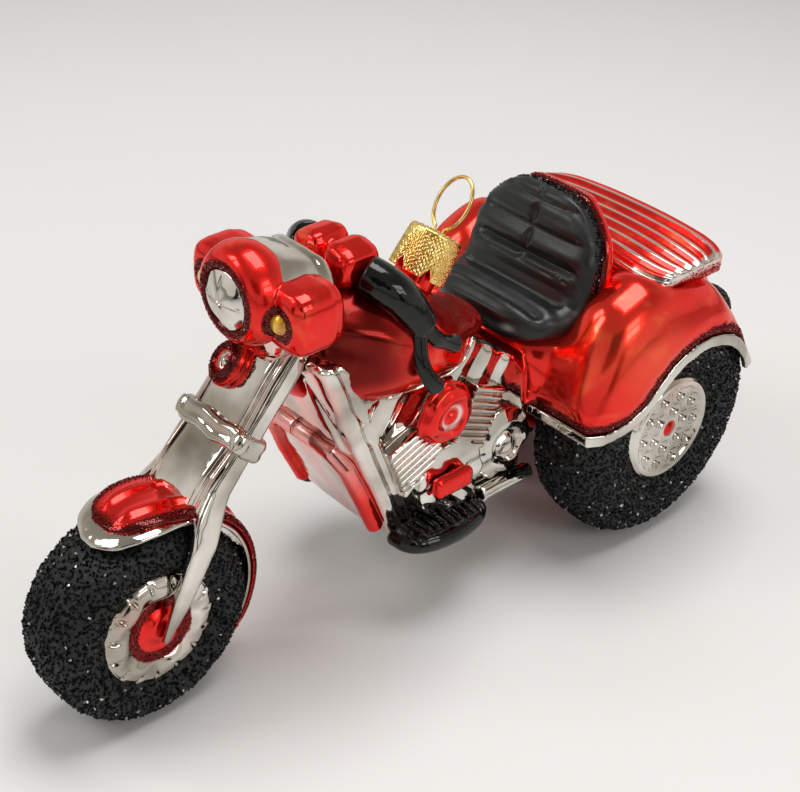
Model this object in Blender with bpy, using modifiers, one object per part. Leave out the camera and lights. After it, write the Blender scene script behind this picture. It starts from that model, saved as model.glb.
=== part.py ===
# A blown-glass tree ornament in the shape of a three-wheeled motorcycle, silvered inside and
# lacquered outside, with a crimped metal cap and a wire hanger in its neck.
# Metres, +X forward, +Y to the rider's left, +Z up. The origin is on the floor, below the middle.

from math import acos, asin, cos, pi, radians, sin

import bmesh
import bpy
from mathutils import Matrix, Vector

# Driving dimensions
WHEELBASE = 0.1000
SEAM = 0.0003                      # gap between two moulded forms that meet

# Tyres and wheels
FRONT_TYRE_RADIUS = 0.0183
FRONT_TYRE_WIDTH = 0.0154
FRONT_RIM_RADIUS = 0.0098
FRONT_HUB_RADIUS = 0.0046
FRONT_HUB_STAND_OUT = 0.0012       # how far the hub's dome stands out of the wheel's face
REAR_TYRE_RADIUS = 0.0234
REAR_TYRE_WIDTH = 0.0162
REAR_RIM_RADIUS = 0.0102
REAR_TRACK = 0.0348
RIM_RECESS = 0.0010                # how far a wheel's face lies inside its tyre's sidewall
RIM_DISH = 0.0016                  # further depth of the wheel's dish
HUBCAP_RADIUS = 0.0022
TYRE_SIDES = 32
DIMPLE_COUNT = 12                  # round dimples in each rear wheel's dish
DIMPLE_RADIUS = 0.0008
DIMPLE_DEPTH = 0.0005

# Front mudguard, measured outward from the tyre
MUDGUARD_CLEARANCE = 0.0003
LIP_THICKNESS = 0.0012
LIP_WIDTH = 0.0148
MUDGUARD_THICKNESS = 0.0012
MUDGUARD_WIDTH = 0.0136
MUDGUARD_TAIL_WIDTH = 0.0078
MUDGUARD_FRONT_DEG = 74.0          # angles run back over the tyre from straight ahead
LIP_FRONT_DEG = 65.0               # the lip lines the guard to its rear end
MUDGUARD_REAR_DEG = 214.0

# Fork
FORK_TOP_SETBACK = 0.0300          # behind the front axle
FORK_TOP_Z = 0.0600
FORK_KNEE_SETBACK = 0.0090         # where the legs bend down beside the tyre
FORK_KNEE_Z = 0.0355
FORK_LEG_THICKNESS = 0.0018
FORK_LEG_DEPTH = 0.0052
FORK_FOOT_DEPTH = 0.0026
FORK_LEG_CLEARANCE = 0.0003        # between a leg and the tyre's side
FORK_TOP_WIDTH = 0.0144            # over both legs, above the mudguard
FORK_WEB_THICKNESS = 0.0056
FORK_CLAMP_SHARE = 0.60            # how far down the fork the clamp sits
FORK_CLAMP_HEIGHT = 0.0034
FORK_CLAMP_WALL = 0.0008
HORN_SHARE = 0.307
HORN_RADIUS = 0.0027
HORN_LENGTH = 0.0040
HORN_HEIGHT = 0.0030
HORN_SIDE = -0.0024                # towards the right-hand leg

# Headlamp and the steering head behind it
HEADLAMP_SETBACK = 0.0185
HEADLAMP_Z = 0.0678
LENS_RADIUS = 0.0048
LENS_DOME = 0.0016
BEZEL_WIDTH = 0.0013
SHELL_RADIUS = 0.0084
SHELL_LENGTH = 0.0080
LOBE_LENGTH = 0.0098
LOBE_WIDTH = 0.0098
LOBE_HEIGHT = 0.0110
LOBE_OFFSET = 0.0090               # sideways from the middle
LOBE_DROP = 0.0012
LOBE_SETBACK = 0.0080              # from the lens's edge to the lobe's middle
AMBER_RADIUS = 0.0017
AMBER_DOME = 0.0010
HEAD_LENGTH = 0.0112
HEAD_WIDTH = 0.0176
HEAD_HEIGHT = 0.0172
HEAD_SETBACK = 0.0044
HEAD_DROP = 0.0023                 # its middle below the headlamp's

# Handlebar and grips
BAR_SETBACK = 0.0400
BAR_Z = 0.0686
BAR_RADIUS = 0.0022
RISER_LENGTH = 0.0078              # along the bike
RISER_WIDTH = 0.0062               # across it
RISER_HEIGHT = 0.0066
RISER_DROOP_DEG = 12.0             # each riser's outer end hangs down
GRIP_RADIUS = 0.0027
GRIP_RUN_BACK = 0.0072
GRIP_RUN_DOWN = 0.0096
GRIP_RUN_OUT = 0.0076
LEVER_RADIUS = 0.0012
LEVER_RUN_BACK = 0.0064
LEVER_RUN_DOWN = 0.0046
HOOK_RADIUS = 0.0012               # the lever's other arm, hooked down the tank's side
HOOK_DROP = 0.0090
HOOK_OUT = 0.0030

# Tank
TANK_LENGTH = 0.0410
TANK_WIDTH = 0.0300
TANK_HEIGHT = 0.0225
TANK_Z = 0.0435
TANK_SETBACK = 0.0285  # from the front axle back to the tank's nose

# Neck, cap and hanger
NECK_SETBACK = 0.0568
NECK_STAND_OFF = 0.0010            # from the tank's top line up to the neck's root
NECK_TILT_DEG = 36.0               # leaning back from upright
NECK_RADIUS = 0.0037
NECK_BORE = 0.0029
NECK_LENGTH = 0.0080
NECK_DEPTH = 0.0070                # how far the bore goes on into the tank
CAP_WALL = 0.0003
CAP_HEIGHT = 0.0078
CAP_FLARE = 0.0004
CAP_FITS_OVER = 0.0006             # running gap between cap and neck
CAP_NOTCHES = 6
CAP_NOTCH_HEIGHT = 0.0022
CAP_NOTCH_WIDTH = 0.0028
WIRE_RADIUS = 0.00032
WIRE_HOLE_RADIUS = 0.00055
LOOP_WIDTH = 0.0068                # to the wire's middle
LOOP_HEIGHT = 0.0094
LEG_SPACING = 0.0022
LEG_STRAIGHT = 0.0048              # leg below the cap before it springs outward
FOOT_DROP = 0.0040

# Frame and front panel
FRAME_WIDTH = 0.0220
FRAME_NOSE_Z = 0.0570              # where the front panel's top edge meets the fork
FRAME_TOE_SETBACK = 0.0445         # its bottom edge, behind the front axle
FRAME_BOTTOM_Z = 0.0165
FRAME_REAR_CLEARANCE = 0.0009      # ahead of the rear tyre and its fender
FRAME_REAR_Z = 0.0430
FRAME_BEVEL = 0.0014
BELLY_WIDTH = 0.0206               # of the front panel's swell
BELLY_RISE = 0.0022
DOWN_TUBE_RADIUS = 0.0015
DOWN_TUBE_SPACING = 0.0200         # between the two sides of the hoop

# Engine relief on each side of the frame
ENGINE_SETBACK = 0.0550            # the crankcase's middle, behind the front axle
CRANKCASE_Z = 0.0262
CRANKCASE_RADIUS = 0.0072
ENGINE_STAND_OUT = 0.0024
FRONT_BARREL_AHEAD = 0.0077        # ahead of the crankcase
FRONT_BARREL_Z = 0.0336
FRONT_BARREL_WIDTH = 0.0098
FRONT_BARREL_HEIGHT = 0.0106
FRONT_BARREL_LEAN_DEG = 22.0       # leaning forward
FRONT_BARREL_FINS = 8
REAR_BARREL_BEHIND = 0.0062
REAR_BARREL_Z = 0.0360
REAR_BARREL_WIDTH = 0.0074
REAR_BARREL_HEIGHT = 0.0116
REAR_BARREL_LEAN_DEG = 24.0        # leaning back
REAR_BARREL_FINS = 9
FIN_DEPTH = 0.0008
FIN_SHARE = 0.5                    # of the pitch that is fin and not gap
GEARBOX_BEHIND = 0.0133
GEARBOX_RADIUS = 0.0068
GEARBOX_Z = 0.0272
AIR_CLEANER_AHEAD = 0.0030
AIR_CLEANER_Z = 0.0412
AIR_CLEANER_RADIUS = 0.0060
AIR_CLEANER_HEIGHT = 0.0026
STARTER_AHEAD = 0.0010
STARTER_Z = 0.0268
STARTER_LENGTH = 0.0082
STARTER_HEIGHT = 0.0036
STARTER_STAND_OUT = 0.0022
STARTER_BEVEL = 0.0008

# Footboards and lower rails
FOOTBOARD_LENGTH = 0.0200
FOOTBOARD_WIDTH = 0.0074
FOOTBOARD_THICKNESS = 0.0030
FOOTBOARD_Z = 0.0190               # its top face
FOOTBOARD_SETBACK = 0.0530  # its middle, behind the front axle
FOOTBOARD_RIBS = 10
RIB_HEIGHT = 0.0005
RIB_WIDTH = 0.0009
TREAD_SHARE = 0.62                 # of the footboard's width that is ribbed
RAIL_RADIUS = 0.0015
RAIL_LENGTH = 0.0122
RAIL_Z = 0.0184

# Seat
SEAT_FRONT_AHEAD = 0.0275  # ahead of the rear axle
SEAT_BASE_Z = 0.0470
SEAT_BASE_LENGTH = 0.0130
SEAT_BACK_HEIGHT = 0.0182
SEAT_BACK_LEAN = 0.0050
SEAT_WIDTH = 0.0285
SEAT_THICKNESS = 0.0054
SEAT_ROLLS = 8
ROLL_DEPTH = 0.0009
SHELL_THICKNESS = 0.0020
SHELL_MARGIN = 0.0008

# Rear body, fenders and lid
BODY_FRONT_AHEAD = 0.0262
BODY_LENGTH = 0.0480
BODY_WIDTH = 0.0360
BODY_FLOOR_Z = 0.0160
BODY_TOP_Z = 0.0500
WAIST_WIDTH = REAR_TRACK - REAR_TYRE_WIDTH - 4 * SEAM  # between the rear tyres
FENDER_AHEAD = 0.0236
FENDER_BEHIND = 0.0215
FENDER_OUTER_Y = 0.0272
FENDER_TOP_Z = 0.0548
FENDER_SKIRT_Z = 0.0294
ARCH_RADIUS = 0.0165
ARCH_SETBACK = 0.0040              # the arch's middle, behind the rear axle
ARCH_Z = 0.0230
ARCH_FILLET = 0.0074               # rounding between the skirt's level run and the arch
CHROME_LIP = 0.0024
LID_LENGTH = 0.0203
LID_WIDTH = 0.0436
LID_THICKNESS = 0.0042
LID_STAND_OUT = 0.0008             # above the fenders' tops
LID_AHEAD = 0.0052                 # the lid's front edge, ahead of the rear axle
LID_CROWN = 0.0018                 # how far the lid's sides fall away from its middle
LID_CORNER = 0.0034                # how far each of its corners is cut back
LID_RIBS = 6
LID_RIB_HEIGHT = 0.0005
TAIL_LAMP_INSET = 0.0006           # short of the tyres' rearmost line
TAIL_LAMP_RADIUS = 0.0050
TAIL_LAMP_DEPTH = 0.0062
TAIL_LAMP_Y = 0.0160
TAIL_LAMP_Z = 0.0385

# How square a rounded section is, as a superellipse's power
ROUND = 2.2
ROUNDED = 2.6
SQUARED = 3.2
BOXED = 5.0

# Places that follow from the sizes above
FLAT_SHARE = cos(pi / TYRE_SIDES)  # a tyre rests on one of its flats
FRONT_AXLE_X = (WHEELBASE + (REAR_TYRE_RADIUS - FRONT_TYRE_RADIUS) * FLAT_SHARE) / 2
REAR_AXLE_X = FRONT_AXLE_X - WHEELBASE
FRONT_AXLE_Z = FRONT_TYRE_RADIUS * FLAT_SHARE
REAR_AXLE_Z = REAR_TYRE_RADIUS * FLAT_SHARE
REAR_TYRE_Y = REAR_TRACK / 2
TAIL_X = REAR_AXLE_X - REAR_TYRE_RADIUS * FLAT_SHARE + TAIL_LAMP_INSET
FORK_LEG_Y = (FORK_TOP_WIDTH - FORK_LEG_THICKNESS) / 2
FORK_BLADE_Y = FRONT_TYRE_WIDTH / 2 + FORK_LEG_CLEARANCE + FORK_LEG_THICKNESS / 2
TOE_X = FRONT_AXLE_X - FRAME_TOE_SETBACK
FRAME_REAR_X = REAR_AXLE_X + max(REAR_TYRE_RADIUS, FENDER_AHEAD) + FRAME_REAR_CLEARANCE
SIDE_Y = FRAME_WIDTH / 2 + SEAM    # where what stands out of the frame's side begins
LID_TOP_Z = FENDER_TOP_Z + LID_STAND_OUT
CAP_RADIUS = NECK_RADIUS + CAP_FITS_OVER + CAP_WALL
CUT_OVERRUN = 0.0100
WELD = 0.000001
FLAT_ANGLE = radians(0.5)

SIDES = (("left", 1), ("right", -1))

# Finishes: colour, metallic, roughness
FINISHES = {
    "silvered_glass": ((0.86, 0.85, 0.82), 1.0, 0.08),
    "red_lacquer": ((0.72, 0.03, 0.02), 0.85, 0.12),
    "black_glitter": ((0.02, 0.02, 0.022), 0.0, 0.55),
    "black_lacquer": ((0.012, 0.012, 0.014), 0.0, 0.08),
    "matt_black": ((0.035, 0.04, 0.04), 0.0, 0.6),
    "amber_lacquer": ((0.85, 0.5, 0.03), 0.4, 0.2),
    "gold_foil": ((0.9, 0.62, 0.2), 1.0, 0.25),
    "gold_wire": ((0.75, 0.5, 0.18), 1.0, 0.2),
}


def clear_scene():
    for old in list(bpy.data.objects):
        bpy.data.objects.remove(old)


def new_collection(name):
    made = bpy.data.collections.new(name)
    bpy.context.scene.collection.children.link(made)
    return made


def finish(name):
    """The named finish as a material, made once."""
    if name in bpy.data.materials:
        return bpy.data.materials[name]
    colour, metallic, roughness = FINISHES[name]
    material = bpy.data.materials.new(name)
    material.use_nodes = True
    shader = material.node_tree.nodes["Principled BSDF"]
    shader.inputs["Base Color"].default_value = (*colour, 1.0)
    shader.inputs["Metallic"].default_value = metallic
    shader.inputs["Roughness"].default_value = roughness
    return material


def object_from(name, mesh, material=None):
    """A new object of the ornament, or a loose working shape where no material is given."""
    made = bpy.data.objects.new(name, mesh)
    if material:
        PARTS.objects.link(made)
        made.data.materials.clear()
        made.data.materials.append(finish(material))
    else:
        CUTTERS.objects.link(made)
        made.hide_render = True
        made.display_type = "WIRE"
    return made


def evaluated_mesh(thing):
    """The object's mesh with its modifiers applied, caps welded, faces out."""
    bpy.context.view_layer.update()
    graph = bpy.context.evaluated_depsgraph_get()
    mesh = bpy.data.meshes.new_from_object(thing.evaluated_get(graph))
    form = bmesh.new()
    form.from_mesh(mesh)
    bmesh.ops.remove_doubles(form, verts=form.verts, dist=WELD)
    bmesh.ops.dissolve_limit(form, angle_limit=FLAT_ANGLE, verts=form.verts, edges=form.edges)
    bmesh.ops.recalc_face_normals(form, faces=form.faces)
    form.to_mesh(mesh)
    form.free()
    return mesh


def bake(thing):
    """Turns the object's modifiers, or its curve, into a plain mesh."""
    mesh = evaluated_mesh(thing)
    if thing.type == "CURVE":
        name, matrix = thing.name, thing.matrix_world.copy()
        users = list(thing.users_collection)
        bpy.data.objects.remove(thing)
        thing = bpy.data.objects.new(name, mesh)
        for collection in users:
            collection.objects.link(thing)
        thing.matrix_world = matrix
        return thing
    thing.modifiers.clear()
    thing.data = mesh
    return thing


def smooth(thing, angle_deg=40.0):
    thing.data.shade_smooth()
    thing.data.set_sharp_from_angle(angle=radians(angle_deg))
    return thing


def boolean(thing, other, operation, solver="EXACT"):
    bpy.context.view_layer.update()
    step = thing.modifiers.new(operation.lower(), "BOOLEAN")
    step.operation = operation
    step.solver = solver
    step.object = other
    return bake(thing)


def cut(thing, *others):
    for other in others:
        boolean(thing, other, "DIFFERENCE")
    return thing


def join(thing, *others, solver="EXACT"):
    for other in others:
        boolean(thing, other, "UNION", solver)
    return thing


def grown(thing, by=SEAM):
    """A cutter that is the object's own shape, thicker all round by one gap."""
    cutter = object_from(thing.name + "_room", thing.data.copy())
    cutter.matrix_world = thing.matrix_world.copy()
    swell = cutter.modifiers.new("swell", "DISPLACE")
    swell.mid_level = 0.0
    swell.strength = by
    return bake(cutter)


def main_body(thing):
    """Leaves out the loose crumbs that a cut makes, by keeping the largest connected piece."""
    form = bmesh.new()
    form.from_mesh(thing.data)
    left, islands = set(form.faces), []
    while left:
        island, front = set(), [left.pop()]
        while front:
            face = front.pop()
            island.add(face)
            near = {other for edge in face.edges for other in edge.link_faces} & left
            left -= near
            front.extend(near)
        islands.append(island)
    keep = max(islands, key=lambda island: sum(face.calc_area() for face in island))
    crumbs = [face for face in form.faces if face not in keep]
    bmesh.ops.delete(form, geom=crumbs, context="FACES")
    form.to_mesh(thing.data)
    form.free()
    return thing


def clear_of(thing, *neighbours):
    """Cuts the object back by one gap from its neighbours. A grown shape crosses itself in
    its creases, where the exact solver fails, so this cut takes the manifold one."""
    for neighbour in neighbours:
        boolean(thing, grown(neighbour), "DIFFERENCE", "MANIFOLD")
    return main_body(thing)


def loft(name, rings, material=None):
    """A closed body through rings of equally many points, with its two ends capped."""
    form = bmesh.new()
    loops = [[form.verts.new(point) for point in ring] for ring in rings]
    count = len(loops[0])
    for near, far in zip(loops, loops[1:]):
        for i in range(count):
            j = (i + 1) % count
            form.faces.new((near[i], near[j], far[j], far[i]))
    form.faces.new(loops[0])
    form.faces.new(loops[-1])
    bmesh.ops.recalc_face_normals(form, faces=form.faces)
    mesh = bpy.data.meshes.new(name)
    form.to_mesh(mesh)
    form.free()
    return object_from(name, mesh, material)


def oval(centre, across, up, half_across, half_up, power=2.0, points=16):
    """A superellipse ring about a centre, spanned by two directions."""
    ring = []
    for i in range(points):
        turn = 2 * pi * i / points
        a, b = cos(turn), sin(turn)
        along = abs(a) ** (2 / power) * (1 if a >= 0 else -1)
        above = abs(b) ** (2 / power) * (1 if b >= 0 else -1)
        ring.append(centre + across * (half_across * along) + up * (half_up * above))
    return ring


def turned(name, profile, steps, material=None):
    """A profile of (radius, height) points, run down its outer side and spun about Z."""
    mesh = bpy.data.meshes.new(name)
    points = [(radius, 0, height) for radius, height in profile]
    mesh.from_pydata(points, [(i, i + 1) for i in range(len(points) - 1)], [])
    made = object_from(name, mesh, material)
    spin = made.modifiers.new("spin", "SCREW")
    spin.axis = "Z"
    spin.angle = 2 * pi
    spin.steps = spin.render_steps = steps
    spin.use_merge_vertices = True
    spin.merge_threshold = WELD
    return bake(made)


def ring_turned(name, profile, steps, material=None):
    """As turned(), for a closed profile that doesn't touch the axis."""
    return turned(name, list(profile) + [profile[0]], steps, material)


def block(name, size, bevel=0.0, material=None, segments=2):
    """A box about the origin, with rounded edges."""
    form = bmesh.new()
    bmesh.ops.create_cube(form, size=1.0, matrix=Matrix.Diagonal((*size, 1.0)))
    mesh = bpy.data.meshes.new(name)
    form.to_mesh(mesh)
    form.free()
    made = object_from(name, mesh, material)
    if bevel:
        edge = made.modifiers.new("edge", "BEVEL")
        edge.width = bevel
        edge.segments = segments
    return bake(made)


def ball(name, size, material=None, segments=20, rings=12):
    """An ellipsoid about the origin."""
    form = bmesh.new()
    matrix = Matrix.Diagonal((*(extent / 2 for extent in size), 1.0))
    bmesh.ops.create_uvsphere(
        form, u_segments=segments, v_segments=rings, radius=1.0, matrix=matrix
    )
    mesh = bpy.data.meshes.new(name)
    form.to_mesh(mesh)
    form.free()
    return object_from(name, mesh, material)


def rod(name, radius, length, material=None, segments=24):
    """A cylinder about the origin, along Z."""
    form = bmesh.new()
    bmesh.ops.create_cone(
        form, cap_ends=True, segments=segments, radius1=radius, radius2=radius, depth=length
    )
    mesh = bpy.data.meshes.new(name)
    form.to_mesh(mesh)
    form.free()
    return object_from(name, mesh, material)


def tube(name, points, radius, material=None, smoothness=2):
    """A round wire or rail through the points, with closed ends."""
    curve = bpy.data.curves.new(name, "CURVE")
    curve.dimensions = "3D"
    curve.bevel_depth = radius
    curve.bevel_resolution = smoothness
    curve.use_fill_caps = True
    spline = curve.splines.new("POLY")
    spline.points.add(len(points) - 1)
    for knot, point in zip(spline.points, points):
        knot.co = (*point, 1.0)
    made = bpy.data.objects.new(name, curve)
    (PARTS if material else CUTTERS).objects.link(made)
    made = bake(made)
    if material:
        made.data.materials.clear()
        made.data.materials.append(finish(material))
    else:
        made.hide_render = True
        made.display_type = "WIRE"
    return made


def plate(name, outline, thickness, material=None):
    """A flat outline in X and Z, made solid across Y about the middle."""
    curve = bpy.data.curves.new(name, "CURVE")
    curve.dimensions = "2D"
    curve.fill_mode = "BOTH"
    curve.extrude = thickness / 2
    spline = curve.splines.new("POLY")
    spline.points.add(len(outline) - 1)
    spline.use_cyclic_u = True
    for knot, (x, z) in zip(spline.points, outline):
        knot.co = (x, z, 0.0, 1.0)
    made = bpy.data.objects.new(name, curve)
    CUTTERS.objects.link(made)
    made.rotation_euler = (radians(90.0), 0.0, 0.0)
    made = bake(made)
    mesh = made.data
    mesh.transform(made.matrix_world)
    bpy.data.objects.remove(made)
    return object_from(name, mesh, material)


def place(thing, location, rotation=(0.0, 0.0, 0.0)):
    thing.location = location
    thing.rotation_euler = rotation
    bpy.context.view_layer.update()
    return thing


def mirrored(name, source, material):
    """A copy of the object on the other side of the middle plane, its own mesh facing out."""
    mesh = source.data.copy()
    mesh.transform(Matrix.Diagonal((1.0, -1.0, 1.0, 1.0)) @ source.matrix_world)
    mesh.flip_normals()
    return object_from(name, mesh, material)


def tyre_profile(radius, bore, width):
    """The tyre's closed section, (radius, across), down its outer side and back up the bore."""
    half = width / 2
    middle = (radius + bore) / 2
    deep = (radius - bore) / 2
    upper = []
    for rise_share, wide_share in TYRE_SECTION_SHARES:
        upper.append((middle + deep * rise_share, half * wide_share))
    return upper + [(r, -h) for r, h in reversed(upper)]


TYRE_SECTION_SHARES = ((-1.0, 0.82), (-0.45, 1.0), (0.40, 0.97), (0.82, 0.75), (1.0, 0.36))


def across_axle(thing, x, y, z, flat_turn=0.0):
    """Lays a turned piece on its axle: its spin axis along Y, with a flat of the tread down."""
    return place(thing, (x, y, z), (radians(-90.0), 0.0, flat_turn))


def make_tyres():
    flat_turn = pi / TYRE_SIDES
    made = []
    front = tyre_profile(FRONT_TYRE_RADIUS, FRONT_RIM_RADIUS + SEAM, FRONT_TYRE_WIDTH)
    tyre = ring_turned("front_tyre", front, TYRE_SIDES, "black_glitter")
    tyre.data.transform(Matrix.Rotation(flat_turn, 4, "Z"))
    made.append(across_axle(tyre, FRONT_AXLE_X, 0, FRONT_AXLE_Z))
    rear = tyre_profile(REAR_TYRE_RADIUS, REAR_RIM_RADIUS + SEAM, REAR_TYRE_WIDTH)
    for side, sign in SIDES:
        tyre = ring_turned("rear_tyre_" + side, rear, TYRE_SIDES, "black_glitter")
        tyre.data.transform(Matrix.Rotation(flat_turn, 4, "Z"))
        made.append(across_axle(tyre, REAR_AXLE_X, sign * REAR_TYRE_Y, REAR_AXLE_Z))
    return [smooth(tyre) for tyre in made]


def dish_profile(rim, half, hub, boss):
    """Half a wheel's face: the rim's edge, the dish and the hub, out from the axle."""
    return [
        (0.0, half - RIM_DISH + boss),
        (hub, half - RIM_DISH + boss / 2),
        (hub * DISH_INNER_SHARE, half - RIM_DISH),
        (rim * DISH_OUTER_SHARE, half - RIM_DISH),
        (rim * DISH_EDGE_SHARE, half - RIM_RECESS / 2),
        (rim, half - RIM_RECESS),
    ]


def make_wheels():
    half = FRONT_TYRE_WIDTH / 2
    bore = FRONT_HUB_RADIUS + SEAM
    face = [(r, h) for r, h in dish_profile(FRONT_RIM_RADIUS, half, 0.0, 0.0) if r > bore]
    section = [(bore, half - RIM_DISH)] + face
    section += [(r, -h) for r, h in reversed(section)]
    wheel = ring_turned("front_wheel", section, TYRE_SIDES, "silvered_glass")
    across_axle(wheel, FRONT_AXLE_X, 0, FRONT_AXLE_Z)
    tip = half - RIM_DISH + FRONT_HUB_STAND_OUT
    dome = [(r * FRONT_HUB_RADIUS, tip - h * FRONT_HUB_STAND_OUT) for r, h in HUB_DOME_SHARES]
    hub_section = dome + [(r, -h) for r, h in reversed(dome)]
    hub = turned("front_hub", hub_section, TYRE_SIDES // 2, "red_lacquer")
    across_axle(hub, FRONT_AXLE_X, 0, FRONT_AXLE_Z)
    half = REAR_TYRE_WIDTH / 2
    face = dish_profile(REAR_RIM_RADIUS, half, HUBCAP_RADIUS, RIM_DISH)
    inner = [(REAR_RIM_RADIUS, -half + SEAM), (0.0, -half + SEAM)]
    left = turned("rear_wheel_left", face + inner, TYRE_SIDES, "silvered_glass")
    left.data.transform(Matrix.Rotation(pi, 4, "X"))
    place(left, (REAR_AXLE_X, REAR_TYRE_Y, REAR_AXLE_Z), (radians(90.0), 0.0, 0.0))
    for i in range(DIMPLE_COUNT):
        turn = 2 * pi * i / DIMPLE_COUNT
        ring = DIMPLE_RING_SHARES[i % len(DIMPLE_RING_SHARES)] * REAR_RIM_RADIUS
        dimple = rod("dimple", DIMPLE_RADIUS, DIMPLE_DEPTH * 2, None, 6)
        x, z = REAR_AXLE_X + sin(turn) * ring, REAR_AXLE_Z + cos(turn) * ring
        place(dimple, (x, REAR_TYRE_Y + half - RIM_DISH, z), (radians(90.0), 0.0, 0.0))
        cut(left, dimple)
    smooth(left)
    smooth(mirrored("rear_wheel_right", left, "silvered_glass"))
    return smooth(wheel), smooth(hub)


DISH_INNER_SHARE = 1.3             # of the hub's radius
DISH_OUTER_SHARE = 0.72            # of the rim's radius
DISH_EDGE_SHARE = 0.86
HUB_DOME_SHARES = ((0.0, 0.0), (0.6, 0.25), (1.0, 1.0))
DIMPLE_RING_SHARES = (0.64, 0.46)


def over_front_tyre(radius, degrees):
    """A point in the middle plane at that radius about the front axle, and the way out there."""
    turn = radians(degrees)
    out = Vector((cos(turn), 0, sin(turn)))
    return Vector((FRONT_AXLE_X, 0, FRONT_AXLE_Z)) + out * radius, out


def arched_band(name, start, end, inner, width_at, thickness, material, steps=16):
    """A band bent over the front tyre, domed across, with a section at each step."""
    rings = []
    for i in range(steps + 1):
        share = i / steps
        foot, out = over_front_tyre(inner, start + (end - start) * share)
        half = width_at(share) / 2
        near_end = min(share, 1 - share)
        thick = thickness * min(1.0, BAND_END_SHARE + BAND_SWELL * near_end)
        ring = []
        for across, rise in BAND_SECTION_SHARES:
            ring.append(foot + Vector((0, across * half, 0)) + out * (rise * thick))
        rings.append(ring)
    return loft(name, rings, material)


BAND_END_SHARE = 0.45              # a band's thickness at its ends
BAND_SWELL = 3.0                   # how soon it is full, as a rate along the band


BAND_SECTION_SHARES = (
    (-1.0, 0.0), (-1.0, 0.38), (-0.78, 0.78), (-0.40, 0.96), (0.0, 1.0),
    (0.40, 0.96), (0.78, 0.78), (1.0, 0.38), (1.0, 0.0), (0.0, 0.0),
)


def lip_width(share):
    broad = LIP_WIDTH * (LIP_TIP_SHARE + (1 - LIP_TIP_SHARE) * min(1.0, share * LIP_SWELL))
    return min(broad, LIP_WIDTH + (MUDGUARD_TAIL_WIDTH - LIP_WIDTH) * share)


def guard_width(share):
    broad = MUDGUARD_WIDTH * min(1.0, GUARD_TIP_SHARE + share * GUARD_SWELL)
    return broad * (1 - share) + MUDGUARD_TAIL_WIDTH * share


LIP_TIP_SHARE = 0.50
LIP_SWELL = 8.0
GUARD_TIP_SHARE = 0.6
GUARD_SWELL = 4.0


def make_front_mudguard():
    inner = FRONT_TYRE_RADIUS + MUDGUARD_CLEARANCE
    lip = arched_band(
        "mudguard_lip", LIP_FRONT_DEG, MUDGUARD_REAR_DEG, inner, lip_width, LIP_THICKNESS,
        "silvered_glass", 18,
    )
    outer = inner + LIP_THICKNESS + SEAM
    guard = arched_band(
        "front_mudguard", MUDGUARD_FRONT_DEG, MUDGUARD_REAR_DEG, outer, guard_width,
        MUDGUARD_THICKNESS, "red_lacquer", 16,
    )
    return smooth(guard), smooth(lip)


def fork_point(share, y=0.0):
    """A point on the fork's middle line, from its top to the knee."""
    top = Vector((FRONT_AXLE_X - FORK_TOP_SETBACK, y, FORK_TOP_Z))
    knee = Vector((FRONT_AXLE_X - FORK_KNEE_SETBACK, y, FORK_KNEE_Z))
    return top.lerp(knee, share)


def fork_x_at(z):
    """Where the fork's middle line is at that height."""
    return fork_point((FORK_TOP_Z - z) / (FORK_TOP_Z - FORK_KNEE_Z)).x


def fork_directions():
    """Down the fork, and out of its front face."""
    down = (fork_point(1.0) - fork_point(0.0)).normalized()
    return down, Vector((-down.z, 0, down.x))


def make_fork_leg(hub, tank):
    """The left leg: straight down the fork, then a blade bowed out round the tyre to the hub."""
    across = Vector((0, 1, 0))
    front = fork_directions()[1]
    hub_face = FRONT_TYRE_WIDTH / 2 - RIM_DISH + FRONT_HUB_STAND_OUT
    foot = Vector((FRONT_AXLE_X, hub_face + SEAM + FORK_LEG_THICKNESS / 2, FRONT_AXLE_Z))
    knee = fork_point(1.0, FORK_LEG_Y)
    blade_front = Vector((cos(BLADE_RAKE), 0, sin(BLADE_RAKE)))
    rings = []
    for share, depth_share in LEG_SHARES:
        middle = fork_point(share, FORK_LEG_Y)
        half_depth = FORK_LEG_DEPTH * depth_share / 2
        rings.append(oval(middle, across, front, FORK_LEG_THICKNESS / 2, half_depth, SQUARED, 12))
    for share, bow_share, inward_share in BLADE_SHARES:
        middle = knee.lerp(foot, share)
        bowed = FORK_LEG_Y + (FORK_BLADE_Y - FORK_LEG_Y) * bow_share
        middle.y = bowed + (foot.y - FORK_BLADE_Y) * inward_share
        half_depth = (FORK_LEG_DEPTH + (FORK_FOOT_DEPTH - FORK_LEG_DEPTH) * share) / 2
        half_thick = FORK_LEG_THICKNESS * (1 - BLADE_THINNING * share) / 2
        rings.append(oval(middle, across, blade_front, half_thick, half_depth, SQUARED, 12))
    return clear_of(loft("fork_leg_left", rings, "silvered_glass"), hub, tank)


def make_fork_web(neighbours):
    """The bulged shroud between the legs."""
    across = Vector((0, 1, 0))
    front = fork_directions()[1]
    half = FORK_LEG_Y - FORK_LEG_THICKNESS / 2 - SEAM
    rings = []
    for share, bulge_share in WEB_SHARES:
        half_deep = FORK_WEB_THICKNESS * bulge_share / 2
        rings.append(oval(fork_point(share), across, front, half, half_deep, ROUNDED, 16))
    return clear_of(loft("fork_web", rings, "silvered_glass"), *neighbours)


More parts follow.
